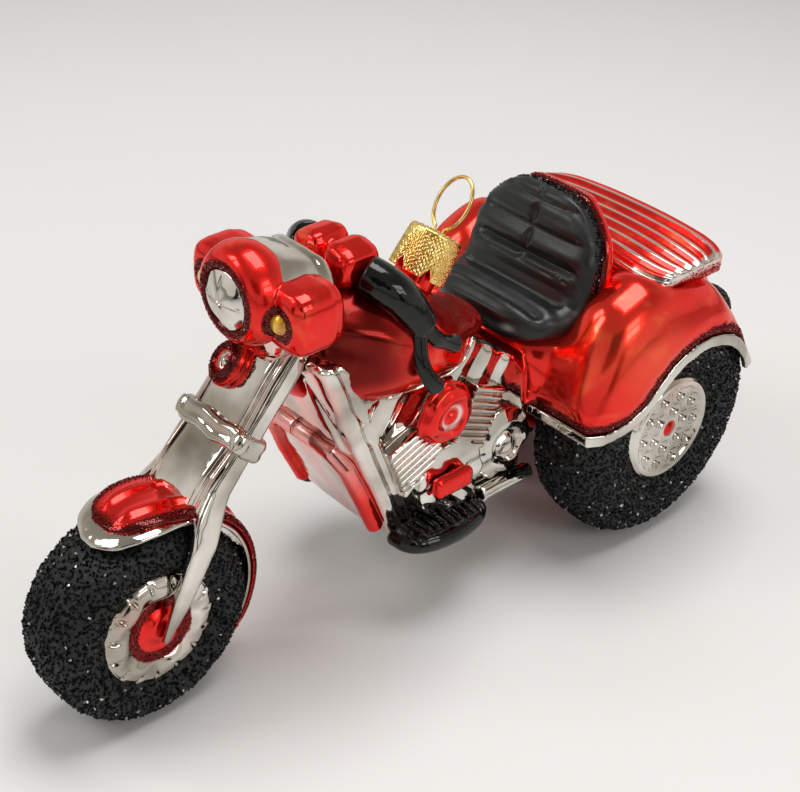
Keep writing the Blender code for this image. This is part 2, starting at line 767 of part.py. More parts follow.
def make_fork_clamp(leg_left, leg_right, web):
    """The bead round the fork, with a hollow on its face over each leg."""
    down, front = fork_directions()
    across = Vector((0, 1, 0))
    middle = fork_point(FORK_CLAMP_SHARE)
    wide = FORK_TOP_WIDTH / 2 + SEAM + FORK_CLAMP_WALL
    deep = max(FORK_LEG_DEPTH, FORK_WEB_THICKNESS) / 2 + SEAM + FORK_CLAMP_WALL
    rings = []
    for along_share, shrink_share in CLAMP_SHARES:
        centre = middle + down * (along_share * FORK_CLAMP_HEIGHT)
        shrink = shrink_share * FORK_CLAMP_WALL
        rings.append(oval(centre, across, front, wide - shrink, deep - shrink, BOXED, 20))
    clamp = loft("fork_clamp", rings, "silvered_glass")
    return clear_of(clamp, leg_left, leg_right, web)


def make_fork(hub, tank, web_neighbours):
    left = smooth(make_fork_leg(hub, tank))
    right = smooth(mirrored("fork_leg_right", left, "silvered_glass"))
    web = smooth(make_fork_web(web_neighbours))
    clamp = smooth(make_fork_clamp(left, right, web))
    return left, right, web, clamp


LEG_SHARES = ((0.0, 0.8), (0.5, 1.0), (0.86, 1.0))
BLADE_SHARES = (
    (0.06, 0.62, 0.0), (0.20, 0.96, 0.0), (0.34, 1.0, 0.0), (0.66, 1.0, 0.5), (1.0, 1.0, 1.0),
)
WEB_SHARES = ((0.0, 0.8), (0.25, 1.0), (0.52, 0.9), (0.7, 0.9), (0.9, 1.08), (1.12, 0.9))
BLADE_RAKE = radians(19.0)
BLADE_THINNING = 0.3
CLAMP_SHARES = ((-0.5, 0.8), (-0.3, 0.1), (0.3, 0.1), (0.5, 0.8))


def make_horn(web):
    """The small round horn on the front of the fork."""
    down, front = fork_directions()
    profile = [(r * HORN_RADIUS, h * HORN_HEIGHT) for r, h in HORN_SHARES]
    horn = turned("horn", profile, 20, "red_lacquer")
    horn.data.transform(Matrix.Diagonal((HORN_LENGTH / HORN_RADIUS, 1.0, 1.0, 1.0)))
    where = fork_point(HORN_SHARE, HORN_SIDE) + front * (FORK_WEB_THICKNESS / 2 + SEAM)
    turn = Matrix((down, Vector((0, 1, 0)), front)).transposed()
    place(horn, where, turn.to_euler())
    return smooth(clear_of(horn, web))


HORN_SHARES = (
    (0.0, 0.8), (0.35, 0.8), (0.5, 1.0), (0.75, 0.9), (1.0, 0.4), (1.0, -0.2), (0.0, -0.2),
)


def along_x(thing, x, y, z):
    """Lays a turned piece with its spin axis along X, its top forward."""
    return place(thing, (x, y, z), (0.0, radians(90.0), 0.0))


def lobe_at(middle, name):
    """A lamp's rounded box, its flat face forward."""
    rings = []
    for along_share, size_share in LOBE_SHARES:
        centre = middle + Vector((along_share * LOBE_LENGTH / 2, 0, 0))
        half_width, half_height = size_share * LOBE_WIDTH / 2, size_share * LOBE_HEIGHT / 2
        rings.append(oval(centre, Vector((0, 1, 0)), Vector((0, 0, 1)), half_width, half_height, ROUNDED, 12))
    return loft(name, rings)


LOBE_SHARES = ((1.0, 0.62), (0.72, 0.90), (0.2, 1.0), (-0.5, 0.94), (-1.0, 0.6))


def make_headlamp(neighbours):
    nose_x = FRONT_AXLE_X - HEADLAMP_SETBACK
    seat_radius = LENS_RADIUS + SEAM
    profile = [
        (0.0, -LENS_DOME),
        (seat_radius, -LENS_DOME),
        (seat_radius, 0.0),
        (LENS_RADIUS + BEZEL_WIDTH, 0.0),
    ]
    profile += [(r * SHELL_RADIUS, -back * SHELL_LENGTH) for r, back in SHELL_SHARES]
    shell = turned("headlamp_shell", profile, 24, "red_lacquer")
    along_x(shell, nose_x, 0, HEADLAMP_Z)
    ambers = []
    for side, sign in SIDES:
        middle = Vector((nose_x - LOBE_SETBACK, sign * LOBE_OFFSET, HEADLAMP_Z - LOBE_DROP))
        join(shell, lobe_at(middle, "lobe_" + side))
        section = [(r * AMBER_RADIUS, h * AMBER_DOME) for r, h in AMBER_SHARES]
        amber = turned("indicator_" + side, section, 16, "amber_lacquer")
        along_x(amber, middle.x + LOBE_LENGTH / 2, middle.y, middle.z)
        ambers.append(smooth(amber))
    section = [(r * LENS_RADIUS, h * LENS_DOME) for r, h in LENS_SHARES]
    section += [(LENS_RADIUS, -LENS_DOME + SEAM), (0.0, -LENS_DOME + SEAM)]
    lens = turned("headlamp_lens", section, 24, "silvered_glass")
    along_x(lens, nose_x, 0, HEADLAMP_Z)
    clear_of(shell, *ambers, *neighbours)
    return smooth(shell), smooth(lens), ambers


SHELL_SHARES = ((0.96, 0.26), (1.0, 0.5), (0.9, 0.84), (0.74, 1.0), (0.0, 1.0))
AMBER_SHARES = ((0.0, 1.0), (0.7, 0.7), (1.0, 0.0), (1.0, -1.0), (0.0, -1.0))
LENS_SHARES = ((0.0, 1.0), (0.5, 0.75), (0.85, 0.3), (1.0, 0.0))


HEAD_SHARES = ((0.0, 0.90, 0.98), (0.3, 1.0, 1.0), (0.7, 0.96, 0.86), (1.0, 0.8, 0.66))


def make_steering_head(shell, fork_pieces, tank):
    """The silvered cowl between headlamp, fork and tank."""
    front_x = FRONT_AXLE_X - HEADLAMP_SETBACK - HEAD_SETBACK
    middle_z = HEADLAMP_Z - HEAD_DROP
    rings = []
    for along, wide, high in HEAD_SHARES:
        centre = Vector((front_x - along * HEAD_LENGTH, 0, middle_z))
        half_width, half_height = wide * HEAD_WIDTH / 2, high * HEAD_HEIGHT / 2
        rings.append(oval(centre, Vector((0, 1, 0)), Vector((0, 0, 1)), half_width, half_height, ROUNDED))
    head = loft("steering_head", rings, "silvered_glass")
    clear_of(head, shell, tank, *fork_pieces)
    return smooth(head)


def make_handlebar(head, tank):
    """A bar across the tank in two red risers, with a black grip and lever at each end."""
    middle = Vector((FRONT_AXLE_X - BAR_SETBACK, 0, BAR_Z))
    droop = radians(RISER_DROOP_DEG)
    bar = rod("handlebar", BAR_RADIUS, RISER_WIDTH, "red_lacquer", 12)
    place(bar, middle, (radians(90.0), 0.0, 0.0))
    size = (RISER_LENGTH, RISER_WIDTH, RISER_HEIGHT)
    for side, sign in SIDES:
        riser = block("riser_" + side, size, RISER_HEIGHT * RISER_BEVEL_SHARE, None, 2)
        out = Vector((0, sign * (RISER_WIDTH / 2 + SEAM), 0))
        join(bar, place(riser, middle + out, (-sign * droop, 0.0, 0.0)))
    clear_of(bar, head, tank)
    start = middle + Vector((0, RISER_WIDTH + SEAM, -sin(droop) * RISER_WIDTH / 2))
    end = start + Vector((-GRIP_RUN_BACK, GRIP_RUN_OUT, -GRIP_RUN_DOWN))
    bend = start.lerp(end, 0.5) + Vector((0, GRIP_RADIUS / 2, GRIP_RADIUS / 2))
    grip = tube("grip_left", [start, bend, end], GRIP_RADIUS, "black_lacquer", 2)
    tip = end + Vector((-LEVER_RUN_BACK, 0, -LEVER_RUN_DOWN))
    lever = tube("lever", [bend.lerp(end, GRIP_BRANCH_SHARE), tip], LEVER_RADIUS, None, 1)
    hook_end = end + Vector((0, HOOK_OUT, -HOOK_DROP))
    hook_bend = end.lerp(hook_end, 0.5) + Vector((HOOK_OUT, 0, 0))
    hook = tube("hook", [bend.lerp(end, GRIP_BRANCH_SHARE), hook_bend, hook_end], HOOK_RADIUS, None, 1)
    join(grip, lever, hook, solver="MANIFOLD")
    clear_of(grip, bar, tank, head)
    right = mirrored("grip_right", smooth(grip), "black_lacquer")
    return smooth(bar), [grip, smooth(right)]


RISER_BEVEL_SHARE = 0.3
GRIP_BRANCH_SHARE = 0.6            # from the grip's bend to its end, where the levers leave it


TANK_SHARES = (
    (0.00, 0.30, 0.30, 0.74),
    (0.08, 0.62, 0.12, 0.90),
    (0.25, 0.92, 0.02, 1.00),
    (0.45, 1.00, 0.00, 0.92),
    (0.65, 0.88, 0.00, 0.67),
    (0.82, 0.62, 0.03, 0.46),
    (0.94, 0.40, 0.07, 0.34),
    (1.00, 0.20, 0.12, 0.26),
)


def tank_top_z(x):
    """The height of the tank's top line there, on the straight runs between its sections."""
    along = (FRONT_AXLE_X - TANK_SETBACK - x) / TANK_LENGTH
    tops = [(share, high) for share, wide, low, high in TANK_SHARES]
    return TANK_Z + share_at(tops, along) * TANK_HEIGHT


def neck_frame():
    """Where the neck's axis leaves the tank, the way out along it, and its turn."""
    tilt = radians(NECK_TILT_DEG)
    x = FRONT_AXLE_X - NECK_SETBACK
    root = Vector((x, 0, tank_top_z(x) + NECK_STAND_OFF))
    return root, Vector((-sin(tilt), 0, cos(tilt))), (0.0, -tilt, 0.0)


def make_tank():
    """The tank, with the glass neck that the ornament was blown through standing out of it."""
    nose_x = FRONT_AXLE_X - TANK_SETBACK
    rings = []
    for along, wide, low, high in TANK_SHARES:
        middle_z = TANK_Z + (low + high) / 2 * TANK_HEIGHT
        centre = Vector((nose_x - along * TANK_LENGTH, 0, middle_z))
        half_width, half_height = wide * TANK_WIDTH / 2, (high - low) / 2 * TANK_HEIGHT
        rings.append(oval(centre, Vector((0, 1, 0)), Vector((0, 0, 1)), half_width, half_height, ROUND, 20))
    tank = loft("tank", rings, "red_lacquer")
    root, out, turn = neck_frame()
    neck = rod("neck", NECK_RADIUS, NECK_LENGTH + NECK_DEPTH / 2, None, 20)
    place(neck, root + out * (NECK_LENGTH / 2 - NECK_DEPTH / 4), turn)
    join(tank, neck)
    bore = rod("neck_bore", NECK_BORE, NECK_DEPTH + NECK_LENGTH + CUT_OVERRUN, None, 20)
    place(bore, root + out * ((NECK_LENGTH + CUT_OVERRUN - NECK_DEPTH) / 2), turn)
    cut(tank, bore)
    return smooth(tank)


def make_cap():
    """The crimped foil cap, its skirt cut into petals, with two holes for the hanger."""
    root, out, turn = neck_frame()
    top = NECK_LENGTH + SEAM + CAP_WALL
    skirt = top - CAP_HEIGHT
    inner = CAP_RADIUS - CAP_WALL
    profile = [
        (0.0, top),
        (inner, top),
        (CAP_RADIUS, top - CAP_WALL),
        (CAP_RADIUS + CAP_FLARE, skirt),
        (inner + CAP_FLARE, skirt),
        (inner, top - CAP_WALL),
        (0.0, top - CAP_WALL),
    ]
    cap = turned("cap", profile, 36, "gold_foil")
    place(cap, root, turn)
    across = (CAP_RADIUS + CAP_FLARE) * 2 + CUT_OVERRUN
    half, high = CAP_NOTCH_WIDTH / 2, CAP_NOTCH_HEIGHT
    outline = [(-half, -high), (half, -high), (half, 0.0), (0.0, high), (-half, 0.0)]
    for i in range(CAP_NOTCHES // 2):
        notch = plate("notch_" + str(i), outline, across)
        around = Matrix.Rotation(2 * pi * i / CAP_NOTCHES, 4, "Z")
        notch.data.transform(Matrix.Translation((0, 0, skirt)) @ around)
        cut(cap, place(notch, root, turn))
    for sign in (1, -1):
        hole = rod("wire_hole", WIRE_HOLE_RADIUS, CAP_WALL + CUT_OVERRUN, None, 12)
        hole.data.transform(Matrix.Translation((0, sign * LEG_SPACING / 2, top)))
        cut(cap, place(hole, root, turn))
    return smooth(cap)


def make_hanger():
    """The sprung wire: a loop above the cap, two straight legs, two feet against the bore."""
    root, out, turn = neck_frame()
    top = NECK_LENGTH + SEAM + CAP_WALL
    half_leg = LEG_SPACING / 2
    foot = Vector((0, NECK_BORE - WIRE_RADIUS - SEAM, top - LEG_STRAIGHT - FOOT_DROP))
    knee = Vector((0, half_leg, top - LEG_STRAIGHT))
    loop_z = top + SEAM + WIRE_RADIUS + LOOP_HEIGHT / 2
    mouth = pi - asin(LEG_SPACING / LOOP_WIDTH)
    loop = []
    for i in range(LOOP_STEPS + 1):
        turn_by = mouth * (1 - 2 * i / LOOP_STEPS)
        across, above = sin(turn_by) * LOOP_WIDTH / 2, cos(turn_by) * LOOP_HEIGHT / 2
        loop.append(Vector((0, across, loop_z + above)))
    far_side = [Vector((0, -knee.y, knee.z)), Vector((0, -foot.y, foot.z))]
    wire = tube("hanger", [foot, knee] + loop + far_side, WIRE_RADIUS, "gold_wire", 1)
    return smooth(place(wire, root, turn))


LOOP_STEPS = 20


def make_frame(tank, head, others):
    """The silvered frame and crankcase block, with its sloping front panel."""
    length = TOE_X - FRAME_REAR_X
    outline = [(fork_x_at(FRAME_NOSE_Z), FRAME_NOSE_Z), (TOE_X, FRAME_BOTTOM_Z)]
    outline.append((FRAME_REAR_X, FRAME_BOTTOM_Z))
    outline.append((FRAME_REAR_X, FRAME_REAR_Z - length * FRAME_TAIL_SHARE))
    outline.append((FRAME_REAR_X + length * FRAME_SHOULDER_SHARE, FRAME_REAR_Z))
    saddle_z = TANK_Z + TANK_HEIGHT * FRAME_SADDLE_RISE_SHARE
    outline.append((FRAME_REAR_X + length * FRAME_SADDLE_SHARE, saddle_z))
    frame = plate("frame", outline, FRAME_WIDTH, "silvered_glass")
    edge = frame.modifiers.new("edge", "BEVEL")
    edge.width = FRAME_BEVEL
    edge.segments = 2
    join(bake(frame), panel_belly())
    clear_of(frame, tank, head, *others)
    return smooth(frame)


FRAME_TAIL_SHARE = 0.2             # of its length, from the rear corner down
FRAME_SHOULDER_SHARE = 0.12
FRAME_SADDLE_SHARE = 0.45
FRAME_SADDLE_RISE_SHARE = 0.3      # of the tank's height


def panel_point(up_share, y=0.0):
    """A point that far up the front panel from its toe."""
    toe = Vector((TOE_X, y, FRAME_BOTTOM_Z))
    return toe.lerp(Vector((fork_x_at(FRAME_NOSE_Z), y, FRAME_NOSE_Z)), up_share)


def panel_out():
    """The way out of the front panel's face."""
    way = (panel_point(1.0) - panel_point(0.0)).normalized()
    return Vector((way.z, 0, -way.x))


def panel_belly():
    """The swell of the front panel between its two edges."""
    out = panel_out()
    rings = []
    for up_share, wide_share, deep_share in BELLY_SHARES:
        half_width, half_deep = wide_share * BELLY_WIDTH / 2, deep_share * BELLY_RISE
        rings.append(oval(panel_point(up_share), Vector((0, 1, 0)), out, half_width, half_deep, SQUARED, 14))
    return loft("belly", rings)


def make_down_tubes(tank):
    """A red hoop half let into the front panel: a tube up each edge, bent in to the middle."""
    points = []
    for up_share, aside_share, ahead_share in HOOP_SHARES:
        y = max(SEAM / 2, DOWN_TUBE_SPACING / 2 * aside_share)
        points.append(panel_point(up_share, y) + panel_out() * (BELLY_RISE * ahead_share))
    left = tube("down_tube_left", points, DOWN_TUBE_RADIUS, "red_lacquer", 2)
    smooth(clear_of(left, tank))
    return left, smooth(mirrored("down_tube_right", left, "red_lacquer"))


BELLY_SHARES = ((0.04, 0.80, 0.3), (0.12, 0.94, 0.8), (0.38, 1.0, 1.0), (0.66, 0.9, 0.7), (0.9, 0.6, 0.2))
HOOP_SHARES = (
    (0.10, 0.94, 0.50), (0.30, 1.0, 0.70), (0.47, 0.94, 0.74), (0.545, 0.74, 0.90), (0.57, 0.40, 0.96),
    (0.57, 0.0, 1.0),
)


def facing_left(thing, x, y, z):
    """Lays a turned piece with its top facing out of the left side."""
    return place(thing, (x, y, z), (radians(-90.0), 0.0, 0.0))


def finned_barrel(name, width, height, deep, fins):
    """A cylinder's relief: fins along X, one above another, standing out to the left."""
    pitch = height / fins
    outline = [(0.0, height / 2), (0.0, -height / 2)]
    for i in range(fins):
        low = i * pitch - height / 2
        ridge = low + pitch * (1 - FIN_SHARE) / 2
        outline += [(deep - FIN_DEPTH, low), (deep, ridge), (deep, ridge + pitch * FIN_SHARE)]
    outline.append((deep - FIN_DEPTH, height / 2))
    barrel = plate(name, outline, width)
    barrel.data.transform(Matrix.Rotation(radians(90.0), 4, "Z"))
    return barrel


def make_engine(footboard):
    """On each side: two finned cylinders in a V on a crankcase, and the gearbox cover."""
    x = FRONT_AXLE_X - ENGINE_SETBACK
    deep = ENGINE_STAND_OUT
    y = SIDE_Y + deep / 2
    engine = rod("engine_left", CRANKCASE_RADIUS, deep, "silvered_glass", 24)
    facing_left(engine, x, y, CRANKCASE_Z)
    front = finned_barrel(
        "front_barrel", FRONT_BARREL_WIDTH, FRONT_BARREL_HEIGHT, deep, FRONT_BARREL_FINS
    )
    lean = radians(FRONT_BARREL_LEAN_DEG)
    place(front, (x + FRONT_BARREL_AHEAD, SIDE_Y, FRONT_BARREL_Z), (0.0, lean, 0.0))
    rear = finned_barrel(
        "rear_barrel", REAR_BARREL_WIDTH, REAR_BARREL_HEIGHT, deep, REAR_BARREL_FINS
    )
    lean = radians(-REAR_BARREL_LEAN_DEG)
    place(rear, (x - REAR_BARREL_BEHIND, SIDE_Y, REAR_BARREL_Z), (0.0, lean, 0.0))
    section = [(r * GEARBOX_RADIUS, h * deep) for r, h in COVER_SHARES]
    cover = turned("gearbox_cover", section, 24)
    facing_left(cover, x - GEARBOX_BEHIND, SIDE_Y, GEARBOX_Z)
    join(engine, front, rear, cover, solver="MANIFOLD")
    clear_of(engine, footboard)
    return smooth(engine), smooth(mirrored("engine_right", engine, "silvered_glass"))


COVER_SHARES = (
    (0.0, 0.95), (0.22, 0.95), (0.32, 0.66), (0.46, 0.66), (0.56, 1.0), (0.72, 0.92),
    (1.0, 0.40), (1.0, 0.0), (0.0, 0.0),
)
CLEANER_SHARES = (
    (0.0, 0.8), (0.28, 0.8), (0.36, 1.0), (0.8, 0.85), (1.0, 0.45), (1.0, 0.0), (0.0, 0.0),
)


def make_engine_trim():
    """The red air cleaner and the small starter motor, on the engine's outer face."""
    x = FRONT_AXLE_X - ENGINE_SETBACK
    y = SIDE_Y + ENGINE_STAND_OUT + SEAM
    section = [(r * AIR_CLEANER_RADIUS, h * AIR_CLEANER_HEIGHT) for r, h in CLEANER_SHARES]
    cleaner = turned("air_cleaner_left", section, 24, "red_lacquer")
    smooth(facing_left(cleaner, x + AIR_CLEANER_AHEAD, y, AIR_CLEANER_Z))
    smooth(mirrored("air_cleaner_right", cleaner, "red_lacquer"))
    size = (STARTER_LENGTH, STARTER_STAND_OUT, STARTER_HEIGHT)
    starter = block("starter_left", size, STARTER_BEVEL, "red_lacquer", 2)
    place(starter, (x + STARTER_AHEAD, y + STARTER_STAND_OUT / 2, STARTER_Z))
    smooth(starter)
    smooth(mirrored("starter_right", starter, "red_lacquer"))


def footboard_reach(along):
    """How far out the footboard's edge is, along its half length from -1 to 1."""
    return FOOTBOARD_WIDTH * max(0.0, 1 - along * along) ** BOARD_END_POWER


def make_footboards():
    """A half-round board with a rim, and a row of ribs across its tread."""
    x = FRONT_AXLE_X - FOOTBOARD_SETBACK
    half_length = FOOTBOARD_LENGTH / 2
    edge = [cos(pi * i / FOOTBOARD_STEPS) for i in range(FOOTBOARD_STEPS + 1)]
    rings = []
    for drop, shrink in BOARD_SHARES:
        z = FOOTBOARD_Z - drop * FOOTBOARD_THICKNESS
        ring = []
        for along in edge:
            reach = footboard_reach(along) * shrink
            ring.append(Vector((x + along * half_length * shrink, SIDE_Y + reach, z)))
        rings.append(ring)
    board = loft("footboard_left", rings, "black_lacquer")
    for i in range(FOOTBOARD_RIBS):
        along = (2 * i + 1) / FOOTBOARD_RIBS - 1
        reach = footboard_reach(along) * TREAD_SHARE
        rib = block("rib", (RIB_WIDTH, reach, RIB_HEIGHT * 2))
        rib_x = x + along * (half_length - 2 * RIB_WIDTH)
        join(board, place(rib, (rib_x, SIDE_Y + SEAM + reach / 2, FOOTBOARD_Z)))
    right = mirrored("footboard_right", smooth(board), "black_lacquer")
    return board, smooth(right)


FOOTBOARD_STEPS = 14
BOARD_END_POWER = 0.3              # how square the board's two ends are, less being squarer
BOARD_SHARES = ((0.0, 0.92), (0.3, 1.0), (0.7, 0.98), (1.0, 0.84))


def make_rails():
    """The lower rail that runs back from each footboard to the rear tyre."""
    y = SIDE_Y + RAIL_RADIUS
    ends = [Vector((FRAME_REAR_X + ahead, y, RAIL_Z)) for ahead in (RAIL_LENGTH, 0.0)]
    left = smooth(tube("rail_left", ends, RAIL_RADIUS, "silvered_glass", 2))
    return left, smooth(mirrored("rail_right", left, "silvered_glass"))


def seat_path(share):
    """The seat's middle line and the way out of its face, from its nose to the back's top."""
    front_x = REAR_AXLE_X + SEAT_FRONT_AHEAD
    bend = SEAT_THICKNESS * SEAT_BEND_SHARE
    straight = SEAT_BASE_LENGTH - bend
    rise = SEAT_BACK_HEIGHT - bend
    total = straight + bend * pi / 2 + rise
    run = share * total
    lean = SEAT_BACK_LEAN / SEAT_BACK_HEIGHT
    if run <= straight:
        return Vector((front_x - run, 0, SEAT_BASE_Z)), Vector((0, 0, 1))
    if run <= straight + bend * pi / 2:
        turn = (run - straight) / bend
        x = front_x - straight - sin(turn) * bend
        z = SEAT_BASE_Z + (1 - cos(turn)) * bend
        return Vector((x, 0, z)), Vector((sin(turn), 0, cos(turn)))
    up = run - straight - bend * pi / 2
    x = front_x - straight - bend - up * lean
    return Vector((x, 0, SEAT_BASE_Z + bend + up)), Vector((1, 0, lean)).normalized()


SEAT_BEND_SHARE = 0.9              # of the seat's thickness, to the middle line of its bend
SEAT_WIDTH_SHARES = (
    (0.0, 0.52), (0.05, 0.74), (0.14, 0.90), (0.28, 0.99), (0.5, 1.0), (0.7, 0.97),
    (0.85, 0.84), (0.94, 0.64), (1.0, 0.40),
)


def share_at(table, share):
    for (a, va), (b, vb) in zip(table, table[1:]):
        if share <= b:
            return va + (vb - va) * (share - a) / (b - a)
    return table[-1][1]


def make_seat(neighbours):
    """One padded piece, base and back, sewn into rolls across."""
    rings = []
    count = SEAT_ROLLS * STEPS_PER_ROLL
    for i in range(count + 1):
        share = i / count
        middle, out = seat_path(share)
        seam_line = i % STEPS_PER_ROLL == 0 and 0 < i < count
        valley = ROLL_DEPTH if seam_line else 0.0
        half = share_at(SEAT_WIDTH_SHARES, share) * SEAT_WIDTH / 2
        end_share = SEAT_END_SHARE if i in (0, count) else 1.0
        half_thick = (SEAT_THICKNESS * end_share - valley) / 2
        centre = middle - out * (valley / 2)
        rings.append(oval(centre, Vector((0, 1, 0)), out, half, half_thick, SQUARED, 14))
    seat = loft("seat", rings, "matt_black")
    clear_of(seat, *neighbours)
    return smooth(seat)


STEPS_PER_ROLL = 3
SEAT_END_SHARE = 0.6               # of the seat's thickness, at its nose and its top


def make_seat_shell(seat, neighbours):
    """The red shell behind the backrest."""
    rings = []
    for i in range(SHELL_STEPS + 1):
        share = SHELL_START_SHARE + (1.0 - SHELL_START_SHARE) * i / SHELL_STEPS
        middle, out = seat_path(share)
        half = share_at(SEAT_WIDTH_SHARES, share) * SEAT_WIDTH / 2 + SHELL_MARGIN
        back = middle - out * (SEAT_THICKNESS / 2 + SHELL_THICKNESS * SHELL_SINK_SHARE)
        if i == SHELL_STEPS:
            back += Vector((0, 0, SHELL_MARGIN))
        rings.append(oval(back, Vector((0, 1, 0)), out, half, SHELL_THICKNESS, SQUARED, 14))
    shell = loft("seat_shell", rings, "red_lacquer")
    clear_of(shell, seat, *neighbours)
    return smooth(shell)


SHELL_STEPS = 6
SHELL_START_SHARE = 0.48           # along the seat's line
SHELL_SINK_SHARE = 0.3             # of the shell's thickness, behind the seat's back


BODY_SHARES = (
    (0.00, 0.66, 0.40, 0.80),
    (0.10, 0.78, 0.22, 0.92),
    (0.35, 1.00, 0.00, 0.98),
    (0.70, 1.00, 0.00, 1.00),
    (0.92, 0.94, 0.06, 0.94),
    (1.00, 0.84, 0.16, 0.84),
)


def skirt_line(offset):
    """The fender's lower edge in X and Z, from its front corner over the wheel to its rear."""
    front_x = REAR_AXLE_X + FENDER_AHEAD + CUT_OVERRUN
    rear_x = REAR_AXLE_X - FENDER_BEHIND - CUT_OVERRUN
    middle = Vector((REAR_AXLE_X - ARCH_SETBACK, ARCH_Z))
    radius = ARCH_RADIUS + offset
    level = FENDER_SKIRT_Z + offset
    start = acos(min(1.0, (level - ARCH_Z) / radius))
    corner = middle + Vector((sin(start), cos(start))) * radius
    begin = corner + Vector((ARCH_FILLET, 0))
    turn_in = start - ARCH_FILLET / radius
    end = middle + Vector((sin(turn_in), cos(turn_in))) * radius
    points = [(front_x, level)]
    for i in range(FILLET_STEPS):
        share = i / FILLET_STEPS
        point = begin.lerp(corner, share).lerp(corner.lerp(end, share), share)
        points.append((point.x, point.y))
    for i in range(ARCH_STEPS + 1):
        turn = turn_in - (turn_in + start) * i / ARCH_STEPS
        points.append((middle.x + sin(turn) * radius, middle.y + cos(turn) * radius))
    points.append((rear_x, level))
    return points


ARCH_STEPS = 9
FILLET_STEPS = 3


def below_skirt(name, offset):
    line = skirt_line(offset)
    low = FRAME_BOTTOM_Z - CUT_OVERRUN
    outline = line + [(line[-1][0], low), (line[0][0], low)]
    return plate(name, outline, FENDER_OUTER_Y * 2 + CUT_OVERRUN)


def fender_dome(sign, by=0.0):
    """One rear fender's dome, from the waist out, thicker all round where asked."""
    length = FENDER_AHEAD + FENDER_BEHIND + 2 * by
    high = FENDER_TOP_Z - BODY_FLOOR_Z
    inner = WAIST_WIDTH / 2 - SEAM
    middle_y = sign * (inner + FENDER_OUTER_Y) / 2
    half = (FENDER_OUTER_Y - inner) / 2 + by
    across, up = Vector((0, 1, 0)), Vector((0, 0, 1))
    rings = []
    for along, wide, top in FENDER_SHARES:
        x = REAR_AXLE_X + FENDER_AHEAD + by - along * length
        rise = (high * top + by) / 2
        centre = Vector((x, middle_y, BODY_FLOOR_Z + rise))
        rings.append(oval(centre, across, up, half * wide, rise, ROUNDED, FENDER_POINTS))
    return loft("fender", rings)


FENDER_POINTS = 14


FENDER_SHARES = (
    (0.00, 0.78, 0.54),
    (0.06, 0.90, 0.72),
    (0.18, 0.98, 0.93),
    (0.36, 1.00, 1.00),
    (0.56, 1.00, 0.96),
    (0.76, 0.98, 0.85),
    (0.92, 0.93, 0.62),
    (1.00, 0.86, 0.46),
)


def tail_body():
    """The rounded body between the wheels."""
    front_x = REAR_AXLE_X + BODY_FRONT_AHEAD
    high = BODY_TOP_Z - BODY_FLOOR_Z
    across, up = Vector((0, 1, 0)), Vector((0, 0, 1))
    rings = []
    for along, wide, low, top in BODY_SHARES:
        centre = Vector((front_x - along * BODY_LENGTH, 0, BODY_FLOOR_Z + (low + top) / 2 * high))
        half_width, half_height = wide * BODY_WIDTH / 2, (top - low) / 2 * high
        rings.append(oval(centre, across, up, half_width, half_height, SQUARED, FENDER_POINTS))
    return loft("rear_body", rings, "red_lacquer")


def make_rear_body(neighbours, tyres):
    """The red tail: a body between the wheels and a fender over each, fused in one form."""
    body = tail_body()
    for _, sign in SIDES:
        join(body, fender_dome(sign))
    skirts = below_skirt("skirt", CHROME_LIP)
    waist = block("waist", (WHEELBASE, WAIST_WIDTH, FENDER_TOP_Z + CUT_OVERRUN))
    place(waist, (REAR_AXLE_X, 0, FENDER_TOP_Z / 2))
    cut(skirts, waist)
    cut(body, skirts)
    clear_of(body, *tyres[1:], *neighbours)
    return smooth(body)


def make_fender_lips(tyre):
    """The bright lip along each fender's lower edge."""
    lip = fender_dome(1, SEAM)
    band = below_skirt("band", CHROME_LIP - SEAM)
    cut(band, below_skirt("under", 0.0))
    inner = block("inner", (WHEELBASE, WAIST_WIDTH, FENDER_TOP_Z * 2))
    place(inner, (REAR_AXLE_X, 0, 0))
    boolean(lip, band, "INTERSECT")
    cut(lip, inner)
    clear_of(lip, tyre)
    left = smooth(object_from("fender_lip_left", lip.data, "silvered_glass"))
    return left, smooth(mirrored("fender_lip_right", left, "silvered_glass"))


def lid_top_z(across_share):
    """The crowned lid's height, from its middle at 0 to its side at 1."""
    return LID_TOP_Z - LID_CROWN * abs(across_share) ** LID_CROWN_POWER


def make_lid():
    """The crowned and ribbed boot lid behind the seat, its four corners cut back."""
    front_x = REAR_AXLE_X + LID_AHEAD
    rear_x = front_x - LID_LENGTH
    rings = []
    for across_share, corner_share, thick_share in LID_SHARES:
        y = across_share * LID_WIDTH / 2
        top = lid_top_z(across_share)
        bottom = top - LID_THICKNESS * thick_share
        nose = front_x - corner_share * LID_CORNER
        tail = rear_x + corner_share * LID_CORNER
        pitch = (nose - tail) / (LID_RIBS + 1)
        ring = [Vector((tail, y, bottom)), Vector((tail, y, top))]
        for i in range(LID_RIBS):
            low_x = tail + (i + 0.5) * pitch
            ring.append(Vector((low_x, y, top)))
            ring.append(Vector((low_x + pitch / 2, y, top + thick_share * LID_RIB_HEIGHT)))
        ring.append(Vector((nose, y, top)))
        ring.append(Vector((nose, y, bottom)))
        rings.append(ring)
    return smooth(loft("lid", rings, "red_lacquer"), LID_CREASE_DEG)


LID_CREASE_DEG = 30.0
LID_CROWN_POWER = 2.4
LID_SHARES = (
    (-1.00, 1.0, 0.5), (-0.92, 0.40, 1.0), (-0.72, 0.0, 1.0), (-0.35, 0.0, 1.0),
    (0.35, 0.0, 1.0), (0.72, 0.0, 1.0), (0.92, 0.40, 1.0), (1.00, 1.0, 0.5),
)


